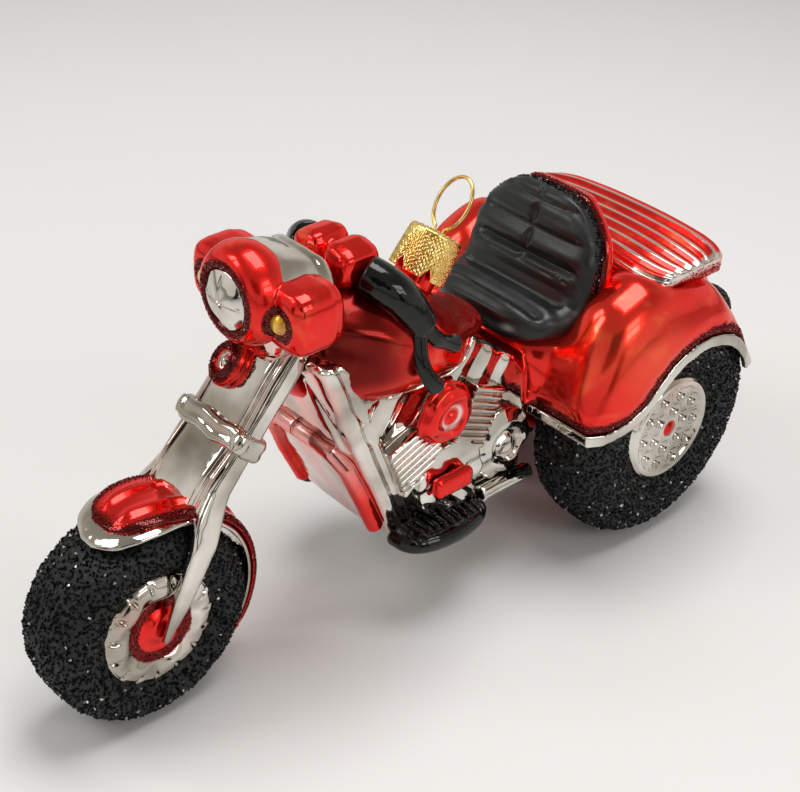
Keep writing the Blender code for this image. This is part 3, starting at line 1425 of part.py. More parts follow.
def make_tail_lamps(neighbours):
    size = (TAIL_LAMP_DEPTH * 2, TAIL_LAMP_RADIUS * 2, TAIL_LAMP_RADIUS * 2)
    lamp = ball("tail_lamp_left", size, "black_glitter", 18, 10)
    place(lamp, (TAIL_X + TAIL_LAMP_DEPTH, TAIL_LAMP_Y, TAIL_LAMP_Z))
    clear_of(lamp, *neighbours)
    smooth(lamp)
    smooth(mirrored("tail_lamp_right", lamp, "black_glitter"))


def build():
    tyres = make_tyres()
    wheel, hub = make_wheels()
    guard, lip = make_front_mudguard()
    tank = make_tank()
    leg_left, leg_right, web, clamp = make_fork(hub, tank, [tyres[0], guard, lip, tank])
    horn = make_horn(web)
    shell, lens, ambers = make_headlamp([leg_left, leg_right, web, horn, tank])
    head = make_steering_head(shell, [leg_left, leg_right, web, horn], tank)
    bar, grips = make_handlebar(head, tank)
    make_cap()
    make_hanger()
    tubes = make_down_tubes(tank)
    frame = make_frame(tank, head, [leg_left, leg_right, web, *tubes])
    footboards = make_footboards()
    make_engine(footboards[0])
    make_engine_trim()
    make_rails()
    seat = make_seat([tank, frame])
    lid = make_lid()
    seat_shell = make_seat_shell(seat, [lid])
    body = make_rear_body([frame, seat, seat_shell, lid], tyres)
    make_fender_lips(tyres[1])
    make_tail_lamps([body, tyres[1]])


clear_scene()
PARTS = new_collection("motor_trike_ornament")
CUTTERS = new_collection("cutters")
build()
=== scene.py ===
import math

import bmesh
import bpy
import numpy as np
from mathutils import Matrix, Vector, kdtree


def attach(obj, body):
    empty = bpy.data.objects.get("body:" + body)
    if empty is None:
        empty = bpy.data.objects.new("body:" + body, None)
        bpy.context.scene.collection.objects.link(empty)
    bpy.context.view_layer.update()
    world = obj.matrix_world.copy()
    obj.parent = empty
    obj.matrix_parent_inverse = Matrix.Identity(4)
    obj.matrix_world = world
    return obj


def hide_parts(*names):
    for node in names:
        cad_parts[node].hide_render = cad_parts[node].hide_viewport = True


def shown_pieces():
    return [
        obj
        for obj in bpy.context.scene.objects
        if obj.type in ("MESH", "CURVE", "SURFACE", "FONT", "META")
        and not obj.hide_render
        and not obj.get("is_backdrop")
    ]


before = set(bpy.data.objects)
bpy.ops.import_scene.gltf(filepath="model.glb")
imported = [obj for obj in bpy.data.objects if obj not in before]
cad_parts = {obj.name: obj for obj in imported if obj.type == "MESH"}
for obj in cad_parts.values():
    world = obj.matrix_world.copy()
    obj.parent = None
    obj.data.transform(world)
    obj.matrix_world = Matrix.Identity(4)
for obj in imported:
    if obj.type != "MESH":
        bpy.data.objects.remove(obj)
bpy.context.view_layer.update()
scene = bpy.context.scene
mm = 0.001
frontAxle = (52.538, 0.0, 18.212)  # the shapes below are written in millimetres
rearAxle = (-47.462, 0.0, 23.287)
sides = (("left", 1), ("right", -1))
rearWheels = {side: (rearAxle[0], sign * 17.4, rearAxle[2]) for side, sign in sides}
print("frame loaded with", len(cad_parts), "nodes")


# Shader arithmetic

class Flow:
    # one output in a material's tree; sums and products of flows add their own Math nodes

    def __init__(self, tree, socket=None):
        self.tree = tree
        self.socket = socket

    def add(self, kind, settings=None, inputs=None, out=0):
        node = self.tree.nodes.new(kind)
        for key, value in (settings or {}).items():
            if key == "stops":
                elements = node.color_ramp.elements
                elements.remove(elements[-1])
                elements[0].position, elements[0].color = value[0][0], (*value[0][1], 1.0)
                for at, tone in value[1:]:
                    elements.new(at).color = (*tone, 1.0)
            else:
                setattr(node, key, value)
        for key, value in (inputs or {}).items():
            if isinstance(value, Flow):
                self.tree.links.new(value.socket, node.inputs[key])
            else:
                node.inputs[key].default_value = value
        return Flow(self.tree, node.outputs[out])

    def maths(self, operation, first, second=0.0, clamp=False):
        settings = {"operation": operation, "use_clamp": clamp}
        return self.add("ShaderNodeMath", settings, {0: first, 1: second})

    def __add__(self, other):
        return self.maths("ADD", self, other)

    def __radd__(self, other):
        return self.maths("ADD", other, self)

    def __sub__(self, other):
        return self.maths("SUBTRACT", self, other)

    def __rsub__(self, other):
        return self.maths("SUBTRACT", other, self)

    def __mul__(self, other):
        return self.maths("MULTIPLY", self, other)

    def __rmul__(self, other):
        return self.maths("MULTIPLY", other, self)

    def __pow__(self, other):
        return self.maths("POWER", self, other)

    def between(self, low, high):  # 0 below low, 1 above high, soft in the middle
        settings = {"interpolation_type": "SMOOTHSTEP"}
        inputs = {"Value": self, "From Min": low, "From Max": high}
        return self.add("ShaderNodeMapRange", settings, inputs)

    def blend(self, first, second):  # colours, by this mask
        tones = [tone if isinstance(tone, Flow) else colour(*tone) for tone in (first, second)]
        return self.add("ShaderNodeMix", {"data_type": "RGBA"}, {0: self, 6: tones[0], 7: tones[1]}, 2)

    def noise(self, scale, detail=2.0, roughness=0.5, distortion=0.0):
        inputs = {"Vector": self.add("ShaderNodeTexCoord", None, None, 3), "Scale": scale,
                  "Detail": detail, "Roughness": roughness, "Distortion": distortion}
        return self.add("ShaderNodeTexNoise", None, inputs)

    def places(self):  # object coordinates in millimetres, one flow each
        where = self.add("ShaderNodeTexCoord", None, None, 3)
        outs = self.add("ShaderNodeSeparateXYZ", None, {0: where}).socket.node.outputs
        return [Flow(self.tree, outs[i]) * 1000.0 for i in range(3)]

    def attribute(self, name):  # a number painted on the points
        return self.add("ShaderNodeAttribute", {"attribute_name": name}, None, 2)

    def bump(self, strength, distance, height):
        inputs = {"Strength": strength, "Distance": distance * mm, "Height": height}
        return self.add("ShaderNodeBump", None, inputs)


def colour(red, green, blue):
    return (red, green, blue, 1.0)


def newMaterial(name, slot=None):
    material = bpy.data.materials.new(name)
    material.use_nodes = True
    return material, Flow(material.node_tree), material.node_tree.nodes["Principled BSDF"]


def setShader(shader, **values):
    for key, value in values.items():
        socket = shader.inputs[key.replace("_", " ")]
        if isinstance(value, Flow):
            value.tree.links.new(value.socket, socket)
        else:
            socket.default_value = value


# Finishes

silverLook = {"pale": (0.76, 0.73, 0.675), "warm": (0.36, 0.33, 0.27), "pink": (0.80, 0.42, 0.38),
              "pinkness": 0.25}


def silveredGlass(name, waves):
    # painted number: a painted pink reflection of the red lacquer
    own = silverLook
    material, flow, shader = newMaterial(name, "silvered_glass")
    tone = flow.noise(60.0, 3.0, 0.55).between(0.36, 0.68).blend(own["pale"], own["warm"])
    pinkTintAndReflection = flow.noise(110.0, 1.0).between(0.55, 0.8) * own["pinkness"]
    # random pink tint, with the painted pink reflection of the red parts added
    pinkTintAndReflection = pinkTintAndReflection.maths("ADD", pinkTintAndReflection, flow.attribute("rosy"), True)
    setShader(shader, Base_Color=pinkTintAndReflection.blend(tone, own["pink"]))
    setShader(shader, Metallic=1.0, Coat_Weight=0.25, Coat_Roughness=0.02)
    setShader(shader, Roughness=flow.noise(160.0).between(0.3, 0.8) * 0.06 + 0.03)
    swim = flow.noise(190.0) * 0.8 + flow.noise(620.0, 1.0) * 0.10
    setShader(shader, Normal=flow.bump(waves, 0.45, swim))
    return material


redLook = {"deep": (0.36, 0.003, 0.002), "red": (0.86, 0.014, 0.009), "glow": (1.0, 0.12, 0.045),
           "brown": (0.075, 0.003, 0.002), "silver": (0.80, 0.77, 0.72), "dark": (0.085, 0.003, 0.003)}


def redLacquer():
    # painted numbers: bare is silver, the painted glow of light is orange, dusky is brown, glitter is a dark
    # bed
    own = redLook
    material, flow, shader = newMaterial("redLacquer", "red_lacquer")
    pools = flow.noise(80.0, 3.0, 0.6, 0.8)
    stops = [(0.0, own["deep"]), (0.42, own["red"]), (0.60, own["red"]), (0.78, own["glow"])]
    wash = pools.add("ShaderNodeValToRGB", {"stops": stops}, {0: pools})
    fire = flow.noise(120.0, 2.0, 0.6, 1.6).between(0.56, 0.72) * 0.5
    dusky, bare = flow.attribute("dusky"), flow.attribute("bare")
    # among these masks, the painted glow of light mixes in the orange tone
    for mask, tone in ((fire, "glow"), (flow.attribute("lit"), "glow"), (dusky, "brown"),
                       (flow.attribute("glitter"), "dark"), (bare, "silver")):
        wash = mask.blend(wash, own[tone])
    setShader(shader, Base_Color=wash, Metallic=bare * 0.14 + 0.84)
    setShader(shader, Coat_Weight=0.45 - bare * 0.4 - dusky * 0.35, Coat_Roughness=0.02)
    setShader(shader, Specular_Tint=colour(1.0, 0.40, 0.34))
    setShader(shader, Roughness=flow.noise(130.0).between(0.3, 0.75) * 0.15 + 0.13 - bare * 0.07)
    swim = flow.noise(150.0) * 0.7 + flow.noise(800.0, 1.0) * 0.05
    setShader(shader, Normal=flow.bump(0.35, 0.45, swim))
    return material


# tones, then noise as (scale, detail, low, high); roughness as (scale, spread, least) and its
# sharpening; bump as (strength, millimetres, scale, detail)
plainLooks = {
    "blackLacquer": {"slot": "black_lacquer", "tones": ((0.001, 0.0015, 0.0013), (0.004, 0.005, 0.0045)),
                     "spots": (300.0, 2.0, 0.4, 0.7), "rough": (260.0, 0.08, 0.06), "sharp": (0.3, 0.8),
                     "bump": (0.4, 0.3, 420.0, 2.0), "Specular_IOR_Level": 0.4},
    "mattBlack": {"slot": "matt_black", "tones": ((0.0035, 0.0045, 0.0045), (0.011, 0.0135, 0.013)),
                  "spots": (140.0, 3.0, 0.35, 0.75), "rough": (500.0, 0.10, 0.34), "sharp": (0.3, 0.8),
                  "bump": (0.25, 0.1, 2600.0, 2.0), "Specular_IOR_Level": 0.45},
    "blackGlitterBed": {"slot": "black_glitter", "tones": ((0.0009, 0.0009, 0.0009), (0.002, 0.002, 0.002)),
                        "spots": (1500.0, 2.0, 0.3, 0.7), "rough": (1200.0, 0.3, 0.45),
                        "sharp": (0.2, 0.8), "bump": (0.8, 0.3, 1700.0, 2.0)},
    "amberLacquer": {"slot": "amber_lacquer", "tones": ((0.62, 0.26, 0.01), (0.95, 0.60, 0.03)),
                     "spots": (500.0, 2.0, 0.35, 0.65), "rough": (700.0, 0.2, 0.15),
                     "Metallic": 0.35, "Coat_Weight": 1.0},
    "goldFoil": {"slot": "gold_foil", "tones": ((0.80, 0.52, 0.14), (1.0, 0.76, 0.30)),
                 "spots": (420.0, 3.0, 0.35, 0.7), "rough": (900.0, 0.16, 0.14),
                 "bump": (0.5, 0.12, 1900.0, 3.0), "Metallic": 1.0},
    "goldWire": {"slot": "gold_wire", "tones": ((0.50, 0.32, 0.10), (0.78, 0.54, 0.20)),
                 "spots": (300.0, 2.0, 0.4, 0.6), "rough": (800.0, 0.15, 0.15), "Metallic": 1.0},
}


def plainFinish(name, own):
    material, flow, shader = newMaterial(name, own["slot"])
    scale, detail, low, high = own["spots"]
    setShader(shader, Base_Color=flow.noise(scale, detail).between(low, high).blend(*own["tones"]))
    scale, spread, least = own["rough"]
    grain = flow.noise(scale)
    if "sharp" in own:
        grain = grain.between(*own["sharp"])
    setShader(shader, Roughness=grain * spread + least)
    if "bump" in own:
        strength, distance, scale, detail = own["bump"]
        setShader(shader, Normal=flow.bump(strength, distance, flow.noise(scale, detail)))
    setShader(shader, **{key: value for key, value in own.items() if key[0].isupper()})
    return material


def glitterGrain(name, slot, dark, light, spark, metal):
    # each grain carries its own random number, so few of them flash
    material, flow, shader = newMaterial(name, slot)
    chance = flow.attribute("grainChance")
    flash = chance.between(0.972, 0.98)
    setShader(shader, Base_Color=flash.blend((chance * 1.3).between(0.0, 1.0).blend(dark, light), spark))
    setShader(shader, Metallic=flash * (1.0 - metal) + metal)
    setShader(shader, Roughness=chance * 0.22 + 0.12, Specular_IOR_Level=0.1)
    return material


silver, red = silveredGlass("silveredGlass", 0.5), redLacquer()
gloss, matt, blackBed, amber, foil, wireGold = (plainFinish(*row) for row in plainLooks.items())
blackGrain = glitterGrain("blackGlitter", "black_glitter", (0.0006, 0.0006, 0.0006),
                          (0.003, 0.003, 0.0035), (0.6, 0.6, 0.6), 0.0)
redGrain = glitterGrain("redGlitter", "red_lacquer", (0.05, 0.002, 0.002),
                        (0.26, 0.012, 0.010), (0.95, 0.35, 0.28), 0.5)
print("finishes made")


# Modelling helpers

def ease(table, at):
    # smooth values between a table's rows
    table = np.array(table, float)
    xs, ys = table[:, 0], table[:, 1:]
    at = np.clip(np.atleast_1d(np.asarray(at, float)), xs[0], xs[-1])
    i = np.clip(np.searchsorted(xs, at, side="right") - 1, 0, len(xs) - 2)
    step = xs[i + 1] - xs[i]
    t = ((at - xs[i]) / step)[:, None]
    slope = np.gradient(ys, xs, axis=0)
    step = step[:, None]
    return ((2 * t**3 - 3 * t**2 + 1) * ys[i] + (t**3 - 2 * t**2 + t) * step * slope[i]
            + (-2 * t**3 + 3 * t**2) * ys[i + 1] + (t**3 - t**2) * step * slope[i + 1])


def stepUp(low, high, value):
    t = np.clip((value - low) / (high - low), 0.0, 1.0)
    return t * t * (3 - 2 * t)


def hump(centre, width, value):
    return np.exp(-(((value - centre) / width) ** 2))


def addObject(name, mesh):
    thing = bpy.data.objects.new(name, mesh)
    scene.collection.objects.link(thing)
    return thing


def facesOut(thing):
    form = bmesh.new()
    form.from_mesh(thing.data)
    bmesh.ops.remove_doubles(form, verts=form.verts, dist=0.000002)
    bmesh.ops.recalc_face_normals(form, faces=form.faces)
    form.to_mesh(thing.data)
    form.free()
    thing.data.shade_smooth()
    return thing


def turns(count):
    return np.linspace(0.0, 2 * math.pi, count, endpoint=False)


def circle(radius, turn, height):
    return np.stack([radius * np.cos(turn), radius * np.sin(turn), height + 0 * turn], 1)


def offAxle(at, x, z):
    return np.hypot(x - at[0], z - at[2])


def ring(centre, across, up, halfAcross, halfUp, power=2.0, count=48):
    c, s = np.cos(turns(count)), np.sin(turns(count))
    u = np.sign(c) * np.abs(c) ** (2 / power) * halfAcross
    v = np.sign(s) * np.abs(s) ** (2 / power) * halfUp
    return np.array(centre) + np.outer(u, across) + np.outer(v, up)


def skin(name, rings, loop=False):
    # a closed form through rings of equally many points, in millimetres
    rings = np.asarray(rings, float)
    rows, count = rings.shape[:2]
    points = list(rings.reshape(-1, 3))
    faces = []
    for r in range(rows if loop else rows - 1):
        for c in range(count):
            d, s = (c + 1) % count, (r + 1) % rows
            faces.append((r * count + c, r * count + d, s * count + d, s * count + c))
    for r in () if loop else (0, rows - 1):
        points.append(rings[r].mean(0))
        faces += [(len(points) - 1, r * count + c, r * count + (c + 1) % count) for c in range(count)]
    mesh = bpy.data.meshes.new(name)
    mesh.from_pydata([tuple(p) for p in np.array(points) * mm], [], faces)
    mesh.validate()
    return facesOut(addObject(name, mesh))


def settle(thing):
    # the modifiers' result as a plain mesh
    bpy.context.view_layer.update()
    mesh = bpy.data.meshes.new_from_object(thing.evaluated_get(bpy.context.evaluated_depsgraph_get()))
    thing.modifiers.clear()
    thing.data = mesh
    return thing


def joined(name, parts):
    form = bmesh.new()
    for part in parts:
        form.from_mesh(part.data)
        bpy.data.objects.remove(part)
    mesh = bpy.data.meshes.new(name)
    form.to_mesh(mesh)
    form.free()
    mesh.shade_smooth()
    return addObject(name, mesh)


def fused(name, parts, voxel, rounds, swell):
    # overlapping closed forms blown into one soft skin
    thing = joined(name, parts)
    blow = thing.modifiers.new("blow", "REMESH")
    blow.mode, blow.voxel_size = "VOXEL", voxel * mm
    calm = thing.modifiers.new("calm", "SMOOTH")
    calm.factor, calm.iterations = 0.5, rounds
    grow = thing.modifiers.new("grow", "DISPLACE")
    grow.mid_level, grow.strength = 0.0, swell * mm
    return facesOut(settle(thing))


def blown(name, node, voxel, rounds, swell):
    # a node's own solid, made soft
    thing = addObject(node + "_copy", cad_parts[node].data.copy())
    thing.data.materials.clear()
    return fused(name, [facesOut(thing)], voxel, rounds, swell)


def mirrorOf(thing, name):
    mesh = thing.data.copy()
    mesh.transform(Matrix.Diagonal((1.0, -1.0, 1.0, 1.0)))
    return facesOut(addObject(name, mesh))


def moved(thing, matrix):
    # a turn and a shift in millimetres
    matrix = matrix.copy()
    matrix.translation = matrix.translation * mm
    thing.data.transform(matrix)
    return facesOut(thing)


def basis(right, up, out, at):
    matrix = Matrix((right, up, out)).transposed().to_4x4()
    matrix.translation = Vector(at)
    return matrix


def facing(at, sign):
    # for a relief that looks out of the left or right side
    return basis((-1, 0, 0), (0, 0, 1), (0, sign, 0), at)


def reliefDisc(name, outer, height, back, inner, rows, count, edge=lambda turn: 1.0):
    # a round relief: height(radius, turn) above its plane, a flat back, walls round it
    turn = turns(count)
    rings = [circle(radius * edge(turn), turn, height(radius, turn))
             for radius in np.linspace(inner, outer, rows)]
    outerFoot, innerFoot = (rings[i] * (1, 1, 0) + (0, 0, back) for i in (-1, 0))
    if inner > 0:
        return skin(name, rings + [outerFoot, innerFoot], loop=True)
    rings[0] += circle(0.001, turn, 0.0)
    return skin(name, rings + [outerFoot])


def dress(thing, material, *nodes, body="glass"):
    thing.data.materials.clear()
    thing.data.materials.append(material)
    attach(thing, body)
    if nodes:
        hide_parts(*nodes)
    return thing


def paint(thing, name, weight):
    # a number at every point, worked out from the points in millimetres
    points = pointsOf(thing)
    values = np.broadcast_to(weight(*points.T), len(points))
    thing.data.attributes.new(name, "FLOAT", "POINT").data.foreach_set("value", values.astype(np.float32))


def pointsOf(*things):
    found = []
    for thing in things:
        flat = np.zeros(len(thing.data.vertices) * 3)
        thing.data.vertices.foreach_get("co", flat)
        found.append(flat.reshape(-1, 3) / mm)
    return np.concatenate(found)


def reshape(thing, move):
    # new places for the points, from the old ones and their normals, in millimetres
    points = pointsOf(thing)
    normals = np.zeros(len(thing.data.vertices) * 3)
    thing.data.vertices.foreach_get("normal", normals)
    points = move(points, normals.reshape(-1, 3))
    thing.data.vertices.foreach_set("co", (points * mm).ravel())
    thing.data.update()


def beside(reach, soft, *things):
    # a weight of 1 within that reach of the points of other forms
    cloud = pointsOf(*things)
    tree = kdtree.KDTree(len(cloud))
    for i, point in enumerate(cloud):
        tree.insert(point, i)
    tree.balance()
    return lambda x, y, z: 1 - stepUp(reach - soft, reach + soft, np.array(
        [tree.find(point)[2] for point in np.stack([x, y, z], 1)]))


def lofted(name, table, section, steps=70):
    # smooth rings through a table's rows; section(row) gives one ring
    table = np.array(table, float)
    shares = np.linspace(table[0, 0], table[-1, 0], steps)
    rows = np.clip(ease(table, shares), table[:, 1:].min(0), table[:, 1:].max(0))
    return skin(name, [section(share, *row) for share, row in zip(shares, rows)])


def hose(name, points, radii, steps=60, count=28):
    # a soft round form along a bent line, its ends rounded
    at = np.linspace(0.0, 1.0, len(points))
    shares = np.linspace(0.0, 1.0, steps)
    path = ease(np.column_stack([at, points]), shares)
    thick = ease(np.column_stack([at, radii]), shares)[:, 0]
    thick *= np.minimum(1.0, np.sqrt(np.minimum(shares, 1 - shares) * 22 + 0.02))
    along = np.gradient(path, axis=0)
    along /= np.linalg.norm(along, axis=1)[:, None]
    rings = []
    for point, way, radius in zip(path, along, thick):
        side = np.cross(way, (0.3, 0.9, 0.2))
        side /= np.linalg.norm(side)
        rings.append(ring(point, side, np.cross(way, side), radius, radius, 2.0, count))
    return skin(name, rings)


# Glitter, strewn by Geometry Nodes

def glitterTree():
    tree = bpy.data.node_groups.new("strewGlitter", "GeometryNodeTree")
    for label, kind, way in (("Geometry", "Geometry", "INPUT"), ("Grain Size", "Float", "INPUT"),
                             ("Density", "Float", "INPUT"), ("Lift", "Float", "INPUT"),
                             ("Seed", "Int", "INPUT"), ("Grain Material", "Material", "INPUT"),
                             ("Geometry", "Geometry", "OUTPUT")):
        tree.interface.new_socket(label, in_out=way, socket_type="NodeSocket" + kind)

    def node(kind, settings=None, links=None):
        made = tree.nodes.new(kind)
        for key, value in (settings or {}).items():
            setattr(made, key, value)
        for key, value in (links or {}).items():
            if hasattr(value, "links"):
                tree.links.new(value, made.inputs[key])
            else:
                made.inputs[key].default_value = value
        return made

    given = node("NodeGroupInput").outputs
    mask = node("GeometryNodeInputNamedAttribute", {"data_type": "FLOAT"}, {"Name": "glitter"})
    thick = node("ShaderNodeMath", {"operation": "MULTIPLY"},
                 {0: mask.outputs["Attribute"], 1: given["Density"]})
    strewn = node("GeometryNodeDistributePointsOnFaces", None,
                  {"Mesh": given["Geometry"], "Density": thick.outputs[0], "Seed": given["Seed"]})
    lift = node("ShaderNodeVectorMath", {"operation": "SCALE"},
                {0: strewn.outputs["Normal"], "Scale": given["Lift"]})
    raised = node("GeometryNodeSetPosition", None,
                  {"Geometry": strewn.outputs["Points"], "Offset": lift.outputs[0]})
    shard = node("GeometryNodeMeshUVSphere", None,
                 {"Segments": 4, "Rings": 2, "Radius": given["Grain Size"]})
    turn = node("FunctionNodeRandomValue", {"data_type": "FLOAT_VECTOR"},
                {0: (0.0, 0.0, 0.0), 1: (6.28, 6.28, 6.28), "Seed": given["Seed"]})
    stretch = node("FunctionNodeRandomValue", {"data_type": "FLOAT_VECTOR"},
                   {0: (0.55, 0.35, 0.35), 1: (1.25, 0.95, 0.95), "Seed": 7})
    placed = node("GeometryNodeInstanceOnPoints", None,
                  {"Points": raised.outputs[0], "Instance": shard.outputs["Mesh"],
                   "Rotation": turn.outputs[0], "Scale": stretch.outputs[0]})
    chance = node("FunctionNodeRandomValue", {"data_type": "FLOAT"}, {2: 0.0, 3: 1.0, "Seed": 3})
    marked = node("GeometryNodeStoreNamedAttribute", {"data_type": "FLOAT", "domain": "INSTANCE"},
                  {"Geometry": placed.outputs[0], "Name": "grainChance", "Value": chance.outputs[1]})
    real = node("GeometryNodeRealizeInstances", None, {"Geometry": marked.outputs[0]})
    flat = node("GeometryNodeSetShadeSmooth", None, {"Geometry": real.outputs[0], "Shade Smooth": False})
    finish = node("GeometryNodeSetMaterial", None,
                  {"Geometry": flat.outputs[0], "Material": given["Grain Material"]})
    node("NodeGroupOutput", None, {"Geometry": finish.outputs[0]})
    return tree


strewGlitter = glitterTree()


def glitterOn(name, bed, grain, density, seed, material, lift=0.0):
    # grains over the part of the bed that its glitter weight marks
    thing = addObject(name, bed.data.copy())
    step = thing.modifiers.new("strew", "NODES")
    step.node_group = strewGlitter
    values = {"Grain Size": grain * mm, "Density": density / mm**2, "Lift": lift * mm, "Seed": seed,
              "Grain Material": material}
    for item in strewGlitter.interface.items_tree:
        if item.in_out == "INPUT" and item.name in values:
            step[item.identifier] = values[item.name]
    return dress(settle(thing), material)


# Camera, floor and light

cameraSizes = {"place": (0.154878, 0.166758, 0.185573), "yaw": 3.9557, "pitch": 0.5781, "roll": 0.0477,
               "lens": 71.58}


def makeCamera(sizes):
    yaw, pitch, roll = sizes["yaw"], sizes["pitch"], sizes["roll"]
    look = Vector((math.cos(yaw) * math.cos(pitch), math.sin(yaw) * math.cos(pitch), -math.sin(pitch)))
    right = look.cross(Vector((0, 0, 1))).normalized()
    up = right.cross(look)
    tilted = math.cos(roll) * right + math.sin(roll) * up
    camera = bpy.data.objects.new("camera", bpy.data.cameras.new("camera"))
    scene.collection.objects.link(camera)
    matrix = Matrix((tilted, look.cross(tilted) * -1, -look)).transposed().to_4x4()
    matrix.translation = Vector(sizes["place"])
    camera.matrix_world = matrix
    camera.data.lens = sizes["lens"]
    camera.data.sensor_width = 36.0
    camera.data.clip_start = 0.01
    scene.camera = camera


stageLook = {"near": (0.79, 0.785, 0.77), "far": (0.47, 0.47, 0.465), "floorShadeFade": (210.0, 620.0),
             "fill": (0.33, 0.315, 0.305), "pale": (0.86, 0.86, 0.85), "wall": (0.74, 0.71, 0.66),
             "ceiling": (0.34, 0.32, 0.28), "card": (0.03, 0.032, 0.024)}


def makeStage(look):
    bpy.ops.mesh.primitive_circle_add(vertices=96, radius=4.0, fill_type="NGON")
    floor = bpy.context.object
    floor.name = "floor"
    material, flow, shader = newMaterial("paperFloor")
    x, y, z = flow.places()
    # painted shade: the paper floor darkens with distance from the object
    away = (x * x + y * y) ** 0.5 + flow.noise(9.0) * 25.0
    setShader(shader, Base_Color=away.between(*look["floorShadeFade"]).blend(look["near"], look["far"]))
    setShader(shader, Roughness=0.42)
    floor.data.materials.append(material)
    floor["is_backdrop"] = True
    world = bpy.data.worlds.new("room")
    world.use_nodes = True
    scene.world = world
    flow = Flow(world.node_tree)
    way = flow.add("ShaderNodeTexCoord", None, None, 0)
    height = flow.add("ShaderNodeSeparateXYZ", None, {0: way}, 2)
    room = height.between(0.22, 0.72).blend(look["wall"], look["ceiling"])
    outs = flow.add("ShaderNodeLightPath").socket.node.outputs
    seen, glossy, through = (Flow(flow.tree, outs["Is " + label + " Ray"])
                             for label in ("Camera", "Glossy", "Transmission"))
    light = seen.blend(glossy.maths("MAXIMUM", glossy, through).blend(look["fill"], room), look["pale"])
    ground = world.node_tree.nodes["Background"]
    world.node_tree.links.new(light.socket, ground.inputs["Color"])


def makeLamp(name, place, aim, width, height, power):
    lamp = bpy.data.objects.new(name, bpy.data.lights.new(name, "AREA"))
    lamp.data.shape = "RECTANGLE"
    lamp.data.size, lamp.data.size_y = width, height
    lamp.data.energy = power
    scene.collection.objects.link(lamp)
    lamp.location = place
    lamp.rotation_euler = (Vector(aim) - Vector(place)).to_track_quat("-Z", "Y").to_euler()
    lamp.visible_camera = False


def makeCard(name, place, aim, width, height):
    # a dark card that only the mirrored glass sees
    bpy.ops.mesh.primitive_plane_add(size=1.0)
    card = bpy.context.object
    card.name = name
    card.scale = (width, height, 1.0)
    card.location = place
    card.rotation_euler = (Vector(aim) - Vector(place)).to_track_quat("Z", "Y").to_euler()
    material, flow, shader = newMaterial(name)
    setShader(shader, Base_Color=colour(*stageLook["card"]), Roughness=0.9)
    card.data.materials.append(material)
    card.visible_camera = card.visible_diffuse = card.visible_shadow = False
    card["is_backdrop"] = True


makeCamera(cameraSizes)
makeStage(stageLook)
makeLamp("overhead", (-0.10, 0.0, 0.62), (0.0, 0.0, 0.02), 0.40, 0.30, 2.5)
for name, place in (("windowLeft", (0.30, -0.30, 0.46)), ("windowRight", (0.42, -0.20, 0.46))):
    makeLamp(name, place, (0.0, 0.0, 0.04), 0.11, 0.20, 0.42)
for name, place in (("sideWindowLow", (-0.02, 0.50, 0.30)), ("sideWindowHigh", (-0.02, 0.47, 0.42))):
    makeLamp(name, place, (0.0, 0.0, 0.03), 0.24, 0.09, 0.30)
makeCard("darkCardLeft", (0.62, -0.10, 0.12), (0.0, 0.0, 0.04), 0.14, 0.30)
makeCard("darkCardRight", (0.16, 0.66, 0.12), (0.0, 0.0, 0.04), 0.16, 0.28)
makeCard("darkCardNear", (0.46, 0.50, 0.44), (0.0, 0.0, 0.04), 0.40, 0.34)
print("stage set")


# Tyres

tyreSizes = {"sections": 120, "points": 44, "roughness": 0.22, "grain": 0.42, "perSquare": 2.5,
             "skinDepth": 0.54, "bareBore": 0.5}
tyreSection = ((-1.0, 0.82), (-0.45, 1.0), (0.40, 0.97), (0.82, 0.75), (0.95, 0.52), (1.0, 0.30))
tyres = {"front_tyre": {"at": frontAxle, "radius": 18.212, "bore": 9.9, "width": 15.4}}
for side, at in rearWheels.items():
    tyres["rear_tyre_" + side] = {"at": at, "radius": 23.287, "bore": 10.3, "width": 16.2}


def makeTyre(name, own, sizes, seed):
    reach = own["radius"] - sizes["skinDepth"]
    middle, half = (reach + own["bore"]) / 2, (reach - own["bore"]) / 2
    wide = own["width"] / 2 - sizes["skinDepth"]
    rng = np.random.default_rng(seed)
    rise = np.sin(np.linspace(-math.pi / 2, math.pi / 2, sizes["points"] // 2))
    share = ease(tyreSection, rise)[:, 0]
    outline = np.concatenate([np.stack([rise, share], 1), np.stack([rise, -share], 1)[::-1]]) * (half, wide)
    rings = []
    for turn in turns(sizes["sections"]):
        out = np.array([math.cos(turn), 0.0, math.sin(turn)])
        section = np.array(own["at"]) + out * middle
        section = section + np.outer(outline[:, 0], out) + np.outer(outline[:, 1], (0, 1, 0))
        section += rng.normal(0.0, sizes["roughness"] / 2, len(section))[:, None] * out
        rings.append(section)
    tyre = skin(name + "_rubber", rings, loop=True)
    paint(tyre, "glitter", lambda x, y, z: offAxle(own["at"], x, z) > own["bore"] + sizes["bareBore"])
    dress(tyre, blackBed, name)
    glitterOn(name + "_glitter", tyre, sizes["grain"], sizes["perSquare"], seed, blackGrain)


for number, (name, own) in enumerate(tyres.items()):
    makeTyre(name, own, tyreSizes, 11 + number)
print("tyres made")


# Wheels

frontWheel = {"rim": 9.85, "hub": 4.3, "face": 6.55, "ring": (5.7, 9.7), "bulge": 0.75, "notches": 15,
              "notchDepth": 0.85, "rows": 46, "count": 240, "glitterTo": 5.9, "glitterOut": 5.5}
rearWheel = {"rim": 10.25, "face": 7.0, "spot": 1.5, "outerDimples": (10, 7.0), "innerDimples": (6, 3.9),
             "dimple": 1.25, "depth": 0.85, "back": -7.6, "rows": 70, "count": 300}


